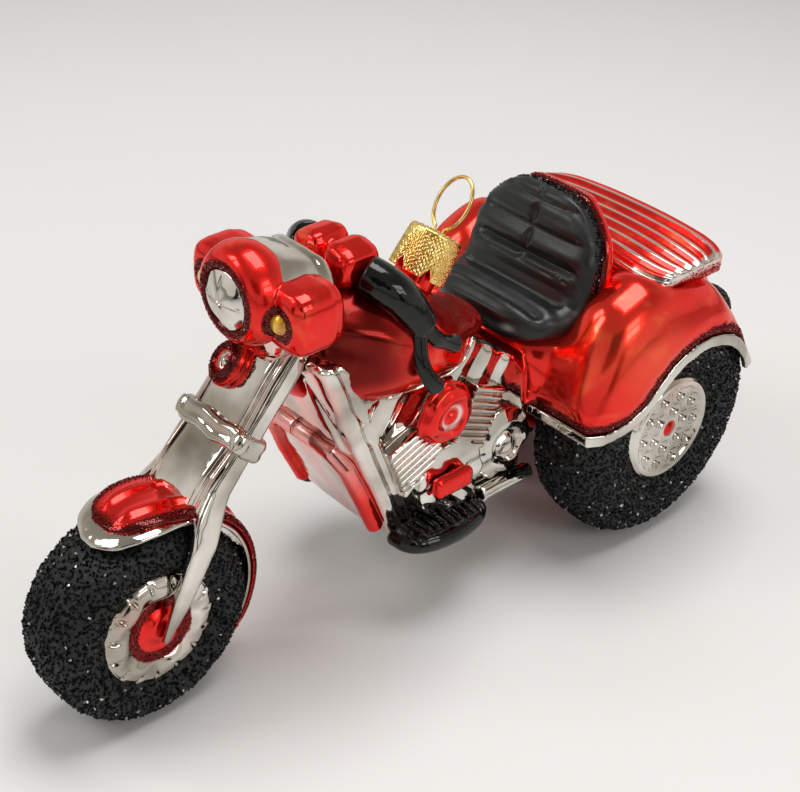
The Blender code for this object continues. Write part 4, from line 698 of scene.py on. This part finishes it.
def frontFace(radius, turn):
    own = frontWheel
    low, high = own["ring"]
    swell = np.sin(np.clip((radius - low) / (high - low), 0, 1) * math.pi) ** 0.7 * own["bulge"]
    wave = np.maximum(0.0, np.cos(turn * own["notches"] + 0.6 * np.sin(turn * 3))) ** 6
    dent = own["notchDepth"] * wave * hump(8.7, 0.75, radius)
    dent = dent + 0.30 * np.sin(turn * 7 + 1.0) * hump(7.0, 1.2, radius)
    return own["face"] + swell - dent


def hubFace(radius, turn):
    dome = 1.35 * (1 - (radius / 4.5) ** 2)
    swirl = 0.30 * np.sin(turn * 2 + radius * 1.3) * hump(2.6, 1.1, radius)
    return frontWheel["face"] + dome + swirl - 0.2


def rearFace(radius, turn):
    own = rearWheel
    top = own["face"] + 0.75 * stepUp(8.1, 9.2, radius) - 0.55 * stepUp(9.6, 10.25, radius)
    x, y = radius * np.cos(turn), radius * np.sin(turn)
    dent = 0.0
    for count, reach in (own["outerDimples"], own["innerDimples"]):
        for i in range(count):
            around = 2 * math.pi * (i + 0.3 * (reach < 5)) / count
            away = np.hypot(x - reach * math.cos(around), y - reach * math.sin(around))
            dent = dent + own["depth"] * hump(0.0, own["dimple"] * 0.62, away) \
                - 0.34 * own["depth"] * hump(own["dimple"] * 1.25, 0.32, away)
    boss = 0.8 * hump(0.0, 1.6, radius)
    return top - dent + boss


def makeWheels():
    own = frontWheel
    faces, hubs = [], []
    for side, sign in sides:
        face = reliefDisc("face", own["rim"], frontFace, -0.5, own["hub"] - 0.5, own["rows"], own["count"])
        faces.append(moved(face, facing(frontAxle, sign)))
    wheel = joined("front_wheel_chrome", faces)
    dress(wheel, frontRimLook, "front_wheel")
    paint(wheel, "glitter", lambda x, y, z: (
        (offAxle(frontAxle, x, z) < own["glitterTo"]) & (np.abs(y) > own["glitterOut"])))
    glitterOn("front_wheel_glitter", wheel, 0.17, 14.0, 31, redGrain)
    for side, sign in sides:
        hub = reliefDisc("hub", own["hub"], hubFace, -0.5, 0.0, 24, 72)
        hubs.append(moved(hub, facing(frontAxle, sign)))
    dress(joined("front_hub_swirl", hubs), red, "front_hub")
    own = rearWheel
    for side, sign in sides:
        node = "rear_wheel_" + side
        disc = reliefDisc(node + "_chrome", own["rim"], rearFace, own["back"], 0.0, own["rows"], own["count"])
        dress(moved(disc, facing(rearWheels[side], sign)), rearRimLook, node)


def spotted(name, at, spot, soft, tone):
    # silvered glass with a lacquered spot round an axle
    material = silveredGlass(name, 0.25)
    flow, shader = Flow(material.node_tree), material.node_tree.nodes["Principled BSDF"]
    base = Flow(material.node_tree, shader.inputs["Base Color"].links[0].from_socket)
    x, y, z = flow.places()
    away = ((x - at[0]) * (x - at[0]) + (z - at[2]) * (z - at[2])) ** 0.5
    setShader(shader, Base_Color=away.between(spot, spot + soft).blend(tone, base))
    return material


frontRimLook = spotted("frontRimGlass", frontAxle, 5.7, 0.3, (0.18, 0.006, 0.006))
rearRimLook = spotted("rearRimGlass", rearAxle, rearWheel["spot"], 0.25, (0.62, 0.012, 0.010))
makeWheels()
print("wheels made")


# Front mudguard

guardSizes = {"inner": 18.62, "lipThick": 1.2, "thick": 1.2, "lip": (65.0, 214.0), "guard": (74.0, 214.0),
              "steps": 90, "across": 26}
lipWidths = ((0.0, 3.0), (0.03, 9.0), (0.08, 12.6), (0.16, 14.6), (0.30, 13.6), (0.6, 10.6), (1.0, 7.8))
guardWidths = ((0.0, 4.0), (0.03, 8.4), (0.08, 11.2), (0.18, 13.2), (0.4, 12.0), (0.7, 9.6), (1.0, 7.4))


def overTyre(radius, degrees):
    turn = math.radians(degrees)
    out = np.array([math.cos(turn), 0.0, math.sin(turn)])
    return np.array(frontAxle) + out * radius, out


def band(name, span, inner, widths, thick, crest):
    rings = []
    for share in np.linspace(0.0, 1.0, guardSizes["steps"]):
        foot, out = overTyre(inner, span[0] + (span[1] - span[0]) * share)
        half = ease(widths, share)[0, 0] / 2
        depth = thick * min(1.0, 0.35 + 9 * share, 0.5 + 6 * (1 - share))
        u = np.cos(np.linspace(math.pi, 0.0, guardSizes["across"]))
        rise = depth * ((1 - np.abs(u) ** 4) ** 0.5 * 0.72 + 0.28) + crest(share, u)
        top = foot + np.outer(u * half, (0, 1, 0)) + np.outer(rise, out)
        low = foot + np.outer(u[::-1] * half, (0, 1, 0))
        rings.append(np.concatenate([top, low[1:-1]]))
    return skin(name, rings)


def guardCrest(share, u):
    ribs = hump(0.40, 0.10, u) + hump(-0.40, 0.10, u)
    return 0.75 * ribs * stepUp(0.02, 0.10, share) * (1 - stepUp(0.42, 0.60, share))


def makeMudguard():
    own = guardSizes
    lip = band("mudguard_lip_chrome", own["lip"], own["inner"], lipWidths, own["lipThick"],
               lambda share, u: 0.0 * u)
    dress(lip, silver, "mudguard_lip")
    inner = own["inner"] + own["lipThick"] * 0.9
    guard = band("front_mudguard_lacquer", own["guard"], inner, guardWidths, own["thick"], guardCrest)
    dress(guard, red, "front_mudguard")
    start, end = own["guard"]

    def edge(x, y, z):
        turn = np.degrees(np.arctan2(z - frontAxle[2], x - frontAxle[0])) % 360
        share = (turn - start) / (end - start)
        half = ease(guardWidths, share)[:, 0] / 2
        rim = np.maximum(stepUp(0.72, 0.80, np.abs(y) / half), 1 - stepUp(0.015, 0.05, share))
        return rim * (offAxle(frontAxle, x, z) > inner + 0.25)

    paint(guard, "glitter", edge)
    glitterOn("front_mudguard_glitter", guard, 0.16, 16.0, 41, redGrain, 0.05)


makeMudguard()
print("mudguard made")


# Plain blown forms, each on its own solid: voxel, rounds of smoothing, swell, finish. A name that
# ends in _ has a left and a right.

blownForms = {"handlebar": (0.25, 8, 0.20, red), "down_tube_": (0.25, 10, 0.16, red),
              "engine_": (0.17, 3, 0.08, silver), "starter_": (0.22, 3, 0.1, red),
              "rail_": (0.25, 2, 0.08, silver), "indicator_": (0.18, 3, 0.05, amber),
              "fender_lip_": (0.22, 5, 0.0, silver), "seat_shell": (0.28, 40, 0.28, red),
              "seat": (0.3, 120, 0.85, matt)}
made = {}
for stem, (voxel, rounds, swell, material) in blownForms.items():
    for node in (stem + "left", stem + "right") if stem.endswith("_") else (stem,):
        made[node] = dress(blown(node + "_glass", node, voxel, rounds, swell), material, node)


def rolls(p, n):
    # soft rolls across the cushion, in two columns up its back
    flat = stepUp(-1.5, 1.5, p[:, 0] + 31.5 - (p[:, 2] - 52.0))
    way = np.outer(flat, (0.0, 0.0, 1.0)) + np.outer(1 - flat, (0.93, 0.0, 0.37))
    along = flat * (p[:, 0] + 0.4) + (1 - flat) * (p[:, 2] - 50.4)
    groove = 1 - np.abs(np.sin(math.pi * along / 4.7)) ** 0.8
    groove = np.maximum(groove, 0.7 * (1 - flat) * hump(0.0, 0.8, p[:, 1]))
    groove = groove * stepUp(0.45, 0.8, (n * way).sum(1)) * (1 - stepUp(10.0, 12.5, np.abs(p[:, 1])))
    return p - way * (1.0 * groove)[:, None]


def casting(p, n):
    # waves over the lower engine
    low = (1 - stepUp(27.0, 31.0, p[:, 2])) * stepUp(9.0, 11.0, np.abs(p[:, 1]))
    swirl = np.sin(p[:, 0] * 1.1 + 1.1 * np.sin(p[:, 2] * 0.7)) * np.sin(p[:, 2] * 0.9 - p[:, 0] * 0.4)
    return p + n * (0.4 * swirl * low)[:, None]


reshape(made["seat"], rolls)
for side, sign in sides:
    reshape(made["engine_" + side], casting)
    paint(made["down_tube_" + side], "bare", lambda x, y, z: 0.6 * stepUp(26.0, 44.0, z))
print("blown forms made")


# Fork, in the fork's own plane: down it, and out of its front

forkTop, forkKnee = np.array((22.538, 0.0, 60.0)), np.array((43.538, 0.0, 35.5))
forkFront = np.array((0.7593, 0.0, 0.6508))
forkDown = np.array((0.6508, 0.0, -0.7593))
acrossFork = np.array((0.0, 1.0, 0.0))
bladeFront = np.array((0.9455, 0.0, 0.3256))
forkSizes = {"webHalf": 7.0, "webDeep": 2.75, "clampAt": 0.60, "clampHalf": 8.25, "clampDeep": 3.95,
             "clampTall": 1.9, "grooveAt": 5.2, "knobAt": 6.9}
webTable = ((0.0, 0.80), (0.25, 1.0), (0.50, 0.88), (0.66, 0.86), (0.84, 1.10), (1.04, 0.86))
# share of the leg's length, its middle in x, y and z, half depth, half thickness, bend from leg to blade
legTable = ((0.00, 22.54, 6.3, 60.0, 1.6, 0.95, 0.0), (0.30, 33.04, 6.3, 47.8, 1.7, 0.95, 0.0),
            (0.52, 40.60, 6.35, 38.9, 2.1, 0.95, 0.15), (0.64, 44.00, 7.9, 34.6, 2.55, 0.95, 0.7),
            (0.72, 45.50, 8.8, 31.9, 2.3, 0.90, 1.0), (0.86, 49.48, 8.8, 24.1, 1.7, 0.80, 1.0),
            (1.00, 53.00, 8.5, 17.3, 0.5, 0.55, 1.0))


def forkAt(share, y=0.0):
    return forkTop + (forkKnee - forkTop) * share + acrossFork * y


def makeFork():
    own = forkSizes

    def legRing(share, x, y, z, deep, thick, bend):
        way = forkFront * (1 - bend) + bladeFront * bend
        return ring((x, y, z), acrossFork, way / np.linalg.norm(way), thick, deep, 3.0, 44)

    leg = lofted("fork_leg_left_chrome", legTable, legRing, 110)
    dress(mirrorOf(leg, "fork_leg_right_chrome"), silver, "fork_leg_right")
    dress(leg, silver, "fork_leg_left")
    web = lofted("fork_web_chrome", webTable, lambda share, bulge: ring(
        forkAt(share), acrossFork, forkFront, own["webHalf"], own["webDeep"] * bulge, 4.5, 120))

    def groove(p, n):
        cut = 0.75 * hump(0.0, 0.42, np.abs(p[:, 1]) - own["grooveAt"])
        return p - n * (cut * (n @ forkFront > 0.5))[:, None]

    reshape(web, groove)
    # painted reflection: pink of the red parts along the web's edges
    paint(web, "rosy", lambda x, y, z: 0.25 * hump(0.0, 1.6, np.abs(y) - 6.0))
    dress(web, silver, "fork_web")
    rings = []
    for t in np.linspace(-1.0, 1.0, 22):
        slim = 0.55 * abs(t) ** 4 + 0.18 * hump(0.0, 0.35, t)
        section = ring(forkAt(own["clampAt"]) + forkDown * (t * own["clampTall"]), acrossFork, forkFront,
                       own["clampHalf"] - slim, own["clampDeep"] - slim, 4.0, 96)
        across = (section @ acrossFork) / own["clampHalf"]
        rings.append(section + np.outer(0.22 * np.sin(across * 7.0), forkDown))
    band = skin("clamp_band", rings)
    knobs = []
    for side, sign in sides:
        place = forkAt(own["clampAt"], sign * own["knobAt"]) + forkFront * 2.3
        knob = [place - forkDown * 1.6, place, place + forkDown * 1.6]
        knobs.append(hose("clamp_knob", knob, [1.2, 1.5, 1.2], 20, 24))
    dress(fused("fork_clamp_chrome", [band] + knobs, 0.2, 5, 0.02), silver, "fork_clamp")


hornSizes = {"along": 4.0, "across": 2.75, "height": 2.9, "share": 0.307, "side": -2.4}


def hornFace(radius, turn):
    rim = 1.1 * hump(2.6, 0.8, radius) - 0.7 * stepUp(3.3, 4.0, radius)
    return 1.7 + rim + 0.5 * hump(0.0, 0.8, radius) - 0.35 * hump(1.4, 0.35, radius)


def makeHorn():
    own = hornSizes
    horn = reliefDisc("horn_lacquer", own["along"], hornFace, -0.5, 0.0, 40, 96)
    place = forkAt(own["share"], own["side"]) + forkFront * own["height"]
    squeeze = own["across"] / own["along"]
    moved(horn, basis((0, squeeze, 0), -forkDown, forkFront, place))

    def away(x, y, z):
        return np.hypot((y - place[1]) / squeeze, np.stack([x, y, z], 1) @ forkDown - place @ forkDown)

    paint(horn, "bare", lambda *p: 1 - stepUp(1.5, 1.9, away(*p)))
    paint(horn, "glitter", lambda *p: stepUp(1.9, 2.1, away(*p)) * (1 - stepUp(3.5, 3.9, away(*p))))
    dress(horn, red, "horn")
    glitterOn("horn_glitter", horn, 0.15, 15.0, 51, redGrain, 0.03)


makeFork()
makeHorn()
print("fork made")


# Headlamp, its shell with two lobes, and the cowl behind

lampAt = np.array((34.038, 0.0, 67.8))
lampSizes = {"lens": 4.75, "lobeAt": (26.04, 9.0, 66.6), "lobeHalf": (4.9, 5.4), "cowlAt": (29.638, 65.5),
             "cowlLong": 11.2, "cowlHalf": (8.8, 8.5)}
shellProfile = ((0.0, 4.7, -0.6), (0.08, 5.2, 0.15), (0.16, 6.0, 0.0), (0.34, 7.3, -0.8),
                (0.50, 8.05, -2.2), (0.66, 8.33, -4.0), (0.84, 7.7, -6.4), (1.0, 6.4, -8.0))
lobeTable = ((0.0, 4.9, 0.30), (0.04, 4.8, 0.58), (0.12, 4.2, 0.84), (0.30, 2.2, 0.99), (0.50, 0.0, 1.0),
             (0.75, -2.5, 0.96), (0.93, -4.4, 0.74), (1.0, -4.9, 0.42))
cowlTable = ((-0.06, 0.60, 0.64), (0.0, 0.90, 0.97), (0.3, 1.0, 1.0), (0.7, 0.96, 0.86), (1.0, 0.80, 0.66),
             (1.08, 0.5, 0.4))


def lensFace(radius, turn):
    x, y = radius * np.cos(turn), radius * np.sin(turn)
    seams = hump(0.0, 0.22, x) + hump(0.0, 0.22, y)
    return 1.35 * (1 - (radius / 4.8) ** 2) - 0.16 * seams * (radius < 4.2) + 0.10 * np.sin(turn * 4)


def makeHeadlamp():
    own = lampSizes
    turn = turns(120)
    rings = [lampAt + np.roll(circle(radius, turn, ahead), 1, 1)
             for radius, ahead in ease(shellProfile, np.linspace(0.0, 1.0, 60))]
    parts = [skin("lamp_shell", rings)]
    for side, sign in sides:
        middle = np.array(own["lobeAt"]) * (1, sign, 1)
        half = own["lobeHalf"]
        parts.append(lofted("lobe", lobeTable, lambda share, ahead, size: ring(
            middle + (ahead, 0, 0), (0, 1, 0), (0, 0, 1), half[0] * size, half[1] * size, 3.2, 56)))
    shell = fused("headlamp_shell_lacquer", parts, 0.22, 5, 0.0)
    edge = beside(1.35, 0.15, made["indicator_left"], made["indicator_right"])
    paint(shell, "glitter", lambda x, y, z: np.maximum(
        (1 - stepUp(6.1, 6.4, np.hypot(y, z - lampAt[2]))) * (x > 32.6), edge(x, y, z)))
    dress(shell, red, "headlamp_shell")
    glitterOn("headlamp_glitter", shell, 0.16, 15.0, 52, redGrain, 0.03)
    lens = reliefDisc("headlamp_lens_glass", own["lens"], lensFace, -0.9, 0.0, 50, 120)
    dress(moved(lens, basis((0, 1, 0), (0, 0, 1), (1, 0, 0), lampAt)), silver, "headlamp_lens")
    (x, z), (halfWide, halfHigh) = own["cowlAt"], own["cowlHalf"]
    cowl = lofted("steering_head_chrome", cowlTable, lambda share, wide, high: ring(
        (x - share * own["cowlLong"], 0, z), (0, 1, 0), (0, 0, 1), halfWide * wide, halfHigh * high, 2.6, 80))
    reshape(cowl, lambda p, n: p + n * (
        0.35 * hump(0.0, 1.6, np.abs(p[:, 1]) - 5.0) * stepUp(66.0, 70.0, p[:, 2]))[:, None])
    # painted reflection: pink of the red parts below on the cowl's lower half
    paint(cowl, "rosy", lambda x, y, z: 0.6 * (1 - stepUp(62.0, 67.0, z)))
    dress(cowl, silver, "steering_head")


makeHeadlamp()
print("headlamp made")


# Tank and its neck

tankSizes = {"nose": 24.038, "length": 41.0, "half": 15.0, "floor": 43.5, "height": 22.5}
tankTable = ((-0.015, 0.10, 0.42, 0.60), (0.00, 0.30, 0.30, 0.74), (0.08, 0.62, 0.12, 0.90),
             (0.25, 0.92, 0.02, 1.00), (0.45, 1.00, 0.00, 0.92), (0.65, 0.88, 0.00, 0.67),
             (0.82, 0.62, 0.03, 0.46), (0.94, 0.40, 0.07, 0.34), (1.00, 0.20, 0.12, 0.26),
             (1.01, 0.06, 0.17, 0.22))
neck = {"root": (-4.262, 0.0, 58.457), "tilt": 36.0, "outer": 3.7, "bore": 2.9, "foot": -1.2, "top": 8.0}


def neckMatrix():
    matrix = Matrix.Rotation(math.radians(-neck["tilt"]), 4, "Y")
    matrix.translation = Vector(neck["root"])
    return matrix


def makeTank():
    own = tankSizes
    nose, length, floor, tall = own["nose"], own["length"], own["floor"], own["height"]
    form = lofted("tank_form", tankTable, lambda share, wide, low, high: ring(
        (nose - share * length, 0, floor + (low + high) / 2 * tall), (0, 1, 0), (0, 0, 1),
        wide * own["half"], (high - low) / 2 * tall, 2.25, 96), 110)

    def swirl(p, n):
        # a soft ridge that curls down each side
        line = 57.5 - 0.42 * (14.0 - p[:, 0]) + 2.2 * np.sin((p[:, 0] - 4.0) / 7.0)
        ridge = 0.45 * hump(0.0, 1.5, p[:, 2] - line) - 0.30 * hump(0.0, 2.2, p[:, 2] - line + 3.2)
        return p + n * (ridge * stepUp(5.0, 10.0, np.abs(p[:, 1])))[:, None]

    reshape(form, swirl)
    wall = [(neck["outer"], neck["top"]), (neck["outer"], neck["foot"]), (neck["bore"], neck["foot"]),
            (neck["bore"], neck["top"])]
    pipe = skin("neck_pipe", [circle(radius, turns(64), height) for radius, height in wall], loop=True)
    tank = fused("tank_lacquer", [form, moved(pipe, neckMatrix())], 0.3, 6, 0.02)
    paint(tank, "dusky", lambda x, y, z: 0.9 * stepUp(5.0, 15.0, x) * stepUp(47.5, 53.0, z))
    # painted highlight: an orange glow of light along the tank's lower side
    paint(tank, "lit", lambda x, y, z: 0.30 * hump(49.0, 3.0, z) * hump(6.0, 8.0, x))
    dress(tank, red, "tank")


makeTank()
print("tank made")


# Grips with their levers

gripPaths = {
    "bar": (((12.5, 6.4, 68.0), (10.9, 9.3, 66.6), (8.9, 11.7, 64.3), (5.6, 14.0, 58.6)),
            (3.2, 3.3, 3.1, 2.5)),
    "lever": (((7.2, 12.9, 61.6), (4.2, 14.0, 57.0), (1.6, 14.3, 55.2), (-1.0, 14.1, 53.8)),
              (1.5, 1.5, 1.2, 1.7)),
    "hook": (((6.9, 13.2, 61.0), (8.0, 15.4, 55.4), (7.2, 16.6, 52.0), (5.3, 17.0, 49.4)),
             (1.4, 1.3, 1.3, 1.6)),
}


def makeGrips():
    parts = [hose("grip_" + label, *gripPaths[label]) for label in gripPaths]
    grip = fused("grip_left_lacquer", parts, 0.2, 5, 0.03)
    dress(mirrorOf(grip, "grip_right_lacquer"), gloss, "grip_right")
    dress(grip, gloss, "grip_left")


makeGrips()


# Frame with its spine lines, and the air cleaners

toe, nose = np.array((8.038, 0.0, 16.5)), np.array((25.11, 0.0, 57.0))
panelWay = (nose - toe) / np.linalg.norm(nose - toe)
panelOut = np.array((panelWay[2], 0.0, -panelWay[0]))
cleaner = {"at": (0.538, 13.9, 41.2), "radius": 6.0}


def makeFrame():
    form = blown("frame_chrome", "frame", 0.3, 12, 0.2)

    def lines(p, n):
        ahead = (p - toe) @ panelOut
        rise = 0.42 * hump(-2.3, 0.5, ahead) - 0.32 * hump(-3.5, 0.45, ahead)
        rise = rise + 0.22 * hump(-4.6, 0.5, ahead)
        side = stepUp(9.5, 10.8, np.abs(p[:, 1])) * (p[:, 2] < 56)
        folds = 0.30 * np.sin(p[:, 0] * 0.9 + p[:, 2] * 0.55) * hump(0.0, 6.0, p[:, 2] - 44.0)
        return p + n * ((rise + folds) * side)[:, None]

    reshape(form, lines)

    # painted reflection: streaky pink of the red parts on the front panel
    def panelRedReflection(x, y, z):
        front = stepUp(-1.6, 0.2, np.stack([x, y, z], 1) @ panelOut - toe @ panelOut)
        return front * (0.6 + 0.4 * np.sin(y * 0.7 + z * 0.25))

    paint(form, "rosy", panelRedReflection)
    dress(form, silver, "frame")


def cleanerFace(radius, turn):
    swirl = 0.22 * np.sin(turn * 3 + radius * 1.1) * hump(4.2, 1.2, radius)
    crown = 1.5 + 0.8 * hump(3.6, 1.5, radius) + swirl - 1.0 * stepUp(5.0, 6.0, radius)
    return crown + 0.9 * hump(0.0, 1.0, radius)


def makeCleaners():
    own = cleaner
    x, y, z = own["at"]

    def edge(turn):
        return 1.0 - 0.035 * (1 + np.sin(turn * 3 + 0.5)) - 0.02 * (1 + np.sin(turn * 7))

    for side, sign in sides:
        node = "air_cleaner_" + side
        disc = reliefDisc(node + "_lacquer", own["radius"], cleanerFace, -0.2, 0.0, 44, 110, edge)
        moved(disc, facing((x, sign * y, z), sign))
        paint(disc, "bare", lambda *p: 0.8 * hump(2.0, 0.35, offAxle(own["at"], p[0], p[2])))
        dress(disc, red, node)


makeFrame()
makeCleaners()
print("frame made")


# Rear body with its fenders, lid and lamps

def melt(thing, weight, rounds):
    # only the weighted points are smoothed, over and over
    group = thing.vertex_groups.new(name="melt")
    shares = weight(*pointsOf(thing).T)
    for i in np.nonzero(shares > 0.02)[0]:
        group.add([int(i)], float(shares[i]), "REPLACE")
    calm = thing.modifiers.new("melt", "SMOOTH")
    calm.factor, calm.iterations, calm.vertex_group = 0.5, rounds, "melt"
    settle(thing)
    thing.vertex_groups.clear()
    return facesOut(thing)


def makeTail():
    body = blown("rear_body_lacquer", "rear_body", 0.36, 12, 0.19)
    lips = made["fender_lip_left"], made["fender_lip_right"]
    clear = beside(2.8, 1.2, *lips)
    melt(body, lambda x, y, z: 1 - clear(x, y, z), 260)
    melt(body, lambda x, y, z: stepUp(-40.0, -32.0, x) * (1 - clear(x, y, z)), 300)
    reshape(body, lambda p, n: p + n * (0.45 * (1 - clear(*p.T)))[:, None])
    near = beside(1.9, 0.25, *lips)
    paint(body, "glitter", lambda x, y, z: near(x, y, z) * (np.abs(y) > 9.5))
    # painted highlight: an orange glow of light over the fenders' upper backs
    paint(body, "lit", lambda x, y, z: (
        0.55 * hump(-36.0, 9.0, x) * hump(44.0, 7.0, z) * (1 - near(x, y, z))))
    dress(body, red, "rear_body")
    glitterOn("fender_glitter", body, 0.16, 15.0, 61, redGrain, 0.03)


lidSizes = {"nose": -42.262, "tail": -62.562, "half": 21.75, "top": 55.6, "crown": 1.8, "thick": 4.2,
            "corner": 3.4, "ribs": 6, "rise": 0.5}
lidTable = ((-1.00, 1.0, 0.45), (-0.975, 0.72, 0.8), (-0.92, 0.40, 1.0), (-0.72, 0.0, 1.0),
            (-0.35, 0.0, 1.0), (0.35, 0.0, 1.0), (0.72, 0.0, 1.0), (0.92, 0.40, 1.0), (0.975, 0.72, 0.8),
            (1.00, 1.0, 0.45))


def makeLid():
    own = lidSizes
    along = np.linspace(0.0, 1.0, 170)
    rungs = own["ribs"] + 1

    def ends(corner):
        return own["tail"] + corner * own["corner"], own["nose"] - corner * own["corner"]

    def crowned(share):
        return own["top"] - own["crown"] * share ** 2.4

    def between(t):  # clear of the lid's two ends
        return (t * rungs > 0.5) * (t * rungs < rungs - 0.5)

    def section(share, corner, thick):
        y, top = share * own["half"], crowned(abs(share))
        tail, front = ends(corner)
        x = tail + (front - tail) * along
        wave = (0.5 + 0.5 * np.cos(2 * math.pi * rungs * along)) * between(along) * min(1.0, thick)
        z = top + own["rise"] * wave - 0.8 * (1 - stepUp(0.0, 0.045, np.minimum(along, 1 - along)))
        upper = np.stack([x, y + 0 * x, z], 1)
        lower = np.stack([x[::-1], y + 0 * x, top - own["thick"] * thick + 0 * x], 1)[::6]
        return np.concatenate([upper, lower])

    def bare(x, y, z):
        share = np.abs(y) / own["half"]
        tail, front = ends(ease(lidTable, -share)[:, 0])
        t = (x - tail) / (front - tail)
        stripes = stepUp(0.66, 0.86, np.cos(2 * math.pi * rungs * t)) * between(t)
        border = np.maximum(1 - stepUp(0.01, 0.035, t), stepUp(0.965, 0.99, t))
        border = np.maximum(border, stepUp(0.93, 0.955, share))
        return np.maximum(stripes, border) * stepUp(-1.5, -1.2, z - crowned(share))

    lid = lofted("lid_lacquer", lidTable, section, 90)
    paint(lid, "bare", bare)
    paint(lid, "glitter", lambda x, y, z: hump(-2.3, 0.6, z - crowned(np.abs(y) / own["half"])))
    dress(lid, red, "lid")
    glitterOn("lid_glitter", lid, 0.16, 12.0, 91, redGrain, 0.03)


def makeTailLamps():
    for side, sign in sides:
        node = "tail_lamp_" + side
        lamp = blown(node + "_glass", node, 0.25, 4, 0.0)
        paint(lamp, "glitter", lambda x, y, z: 1.0)
        dress(lamp, blackBed, node)
        glitterOn(node + "_glitter", lamp, 0.2, 9.0, 71, blackGrain)


makeTail()
makeLid()
makeTailLamps()
print("tail made")


# Glitter along the seat's seam

def makeSeatGlitter():
    seat, shell = made["seat"], made["seat_shell"]
    paint(seat, "glitter", beside(2.2, 0.4, shell))
    glitterOn("seat_glitter", seat, 0.26, 6.5, 81, blackGrain, 0.05)
    paint(shell, "glitter", beside(1.1, 0.2, seat))
    glitterOn("seat_shell_glitter", shell, 0.16, 15.0, 82, redGrain, 0.03)


makeSeatGlitter()
print("seat trimmed")


# Ribbed footboards

boardRibs = {"count": 10, "rise": 0.55, "ends": 2.2, "inner": 0.7, "outer": 1.9, "drop": 1.1}


def makeFootboards():
    own = boardRibs
    for side, sign in sides:
        node = "footboard_" + side
        board = blown(node + "_lacquer", node, 0.14, 60, 0.28)
        points = pointsOf(board)
        low, high = points.min(0), points.max(0)
        inner, outer = sorted((abs(low[1]), abs(high[1])))
        start, end = inner + own["inner"], outer - own["outer"]

        def ribs(p, n):
            share = (p[:, 0] - low[0] - own["ends"]) / (high[0] - low[0] - 2 * own["ends"])
            y = np.abs(p[:, 1])
            inside = stepUp(-0.02, 0.02, share) * (1 - stepUp(0.98, 1.02, share))
            inside = inside * stepUp(start - 0.3, start + 0.3, y) * (1 - stepUp(end - 0.3, end + 0.3, y))
            wave = np.abs(np.sin(math.pi * own["count"] * share)) ** 0.8
            top = inside * stepUp(0.5, 0.8, n[:, 2]) * (p[:, 2] > high[2] - 2.0)
            return p + np.outer(top * (own["rise"] * wave - 0.5 * own["drop"]), (0.0, 0.0, 1.0))

        reshape(board, ribs)
        dress(board, gloss, node)


makeFootboards()
print("footboards made")


# Cap and hanger, drawn in the neck's own frame

capSizes = {"radius": 4.6, "flare": 0.4, "top": 8.6, "height": 7.8, "wall": 0.3, "petals": 6, "notch": 2.0,
            "count": 216, "rows": 46, "emboss": 0.17, "skirtDrop": 0.35}


def emboss(around, along):
    # bead columns down the skirt
    beads = np.cos(around * 36) * np.cos(along * 2 * math.pi / 0.85)
    return capSizes["emboss"] * (0.55 * beads + 0.45 * np.cos(around * 72 + 1.3 * np.sin(along * 5)))


def makeCap():
    own = capSizes
    turn = turns(own["count"])
    offset = np.abs((turn / (2 * math.pi / own["petals"])) % 1.0 - 0.5) * 2
    foot = own["top"] - own["height"] + own["notch"] * np.clip((offset - 0.62) / 0.38, 0, 1) ** 0.8
    outside, inside, top = [], [], []
    for share in np.linspace(0.0, 1.0, own["rows"]):
        z = own["top"] - own["skirtDrop"] + (foot - own["top"] + own["skirtDrop"]) * share
        radius = own["radius"] + own["flare"] * share + 0.0 * turn
        inside.append(circle(radius - own["wall"], turn, z))
        outside.append(circle(radius - 0.05 + emboss(turn, z) * min(1.0, 8 * share), turn, z))
    for radius in np.linspace(0.0015, own["radius"] - 0.25, 20):
        star = 0.20 * np.maximum(0, np.cos(turn * 5)) ** 2 * hump(2.2, 1.3, radius)
        star = star + 0.12 * np.cos(radius * 6)
        beads = 0.10 * np.cos(turn * 28) * hump(3.9, 0.4, radius)
        z = own["top"] - 0.05 + star + beads - 0.25 * (radius / own["radius"]) ** 6
        top.append(circle(radius, turn, z))
    under = [circle(radius, turn, own["top"] - own["wall"])
             for radius in (own["radius"] - own["wall"], 0.0015)]
    cap = skin("cap_foil", top + outside + inside[::-1] + under)
    dress(moved(cap, neckMatrix()), foil, "cap", body="cap")


wireSizes = {"radius": 0.32, "width": 6.8, "height": 9.4, "spacing": 2.2, "straight": 4.8, "drop": 4.0,
             "bore": 2.9, "rise": 0.3}


def makeHanger():
    own = wireSizes
    top, half = capSizes["top"], own["spacing"] / 2
    foot = (0.0, own["bore"] - own["radius"] - 0.3, top - own["straight"] - own["drop"])
    loopZ = top + own["rise"] + own["radius"] + own["height"] / 2
    mouth = math.pi - math.asin(own["spacing"] / own["width"])
    path = [foot, (0.0, half, top - own["straight"]), (0.0, half, top - 2.0)]
    for turn in np.linspace(mouth, -mouth, 72):
        path.append((0.0, math.sin(turn) * own["width"] / 2, loopZ + math.cos(turn) * own["height"] / 2))
    path += [(0.0, -half, top - 2.0), (0.0, -half, top - own["straight"]), (0.0, -foot[1], foot[2])]
    along = np.gradient(np.array(path), axis=0)
    along /= np.linalg.norm(along, axis=1)[:, None]
    rings = [ring(point, (1, 0, 0), np.cross(way, (1.0, 0.0, 0.0)), own["radius"], own["radius"], 2.0, 14)
             for point, way in zip(path, along)]
    dress(moved(skin("hanger_wire", rings), neckMatrix()), wireGold, "hanger", body="hanger")


makeCap()
makeHanger()
print("cap and hanger made")

scene.view_settings.view_transform = "Standard"
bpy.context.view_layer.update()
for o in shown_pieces():
    o.data.calc_loop_triangles()
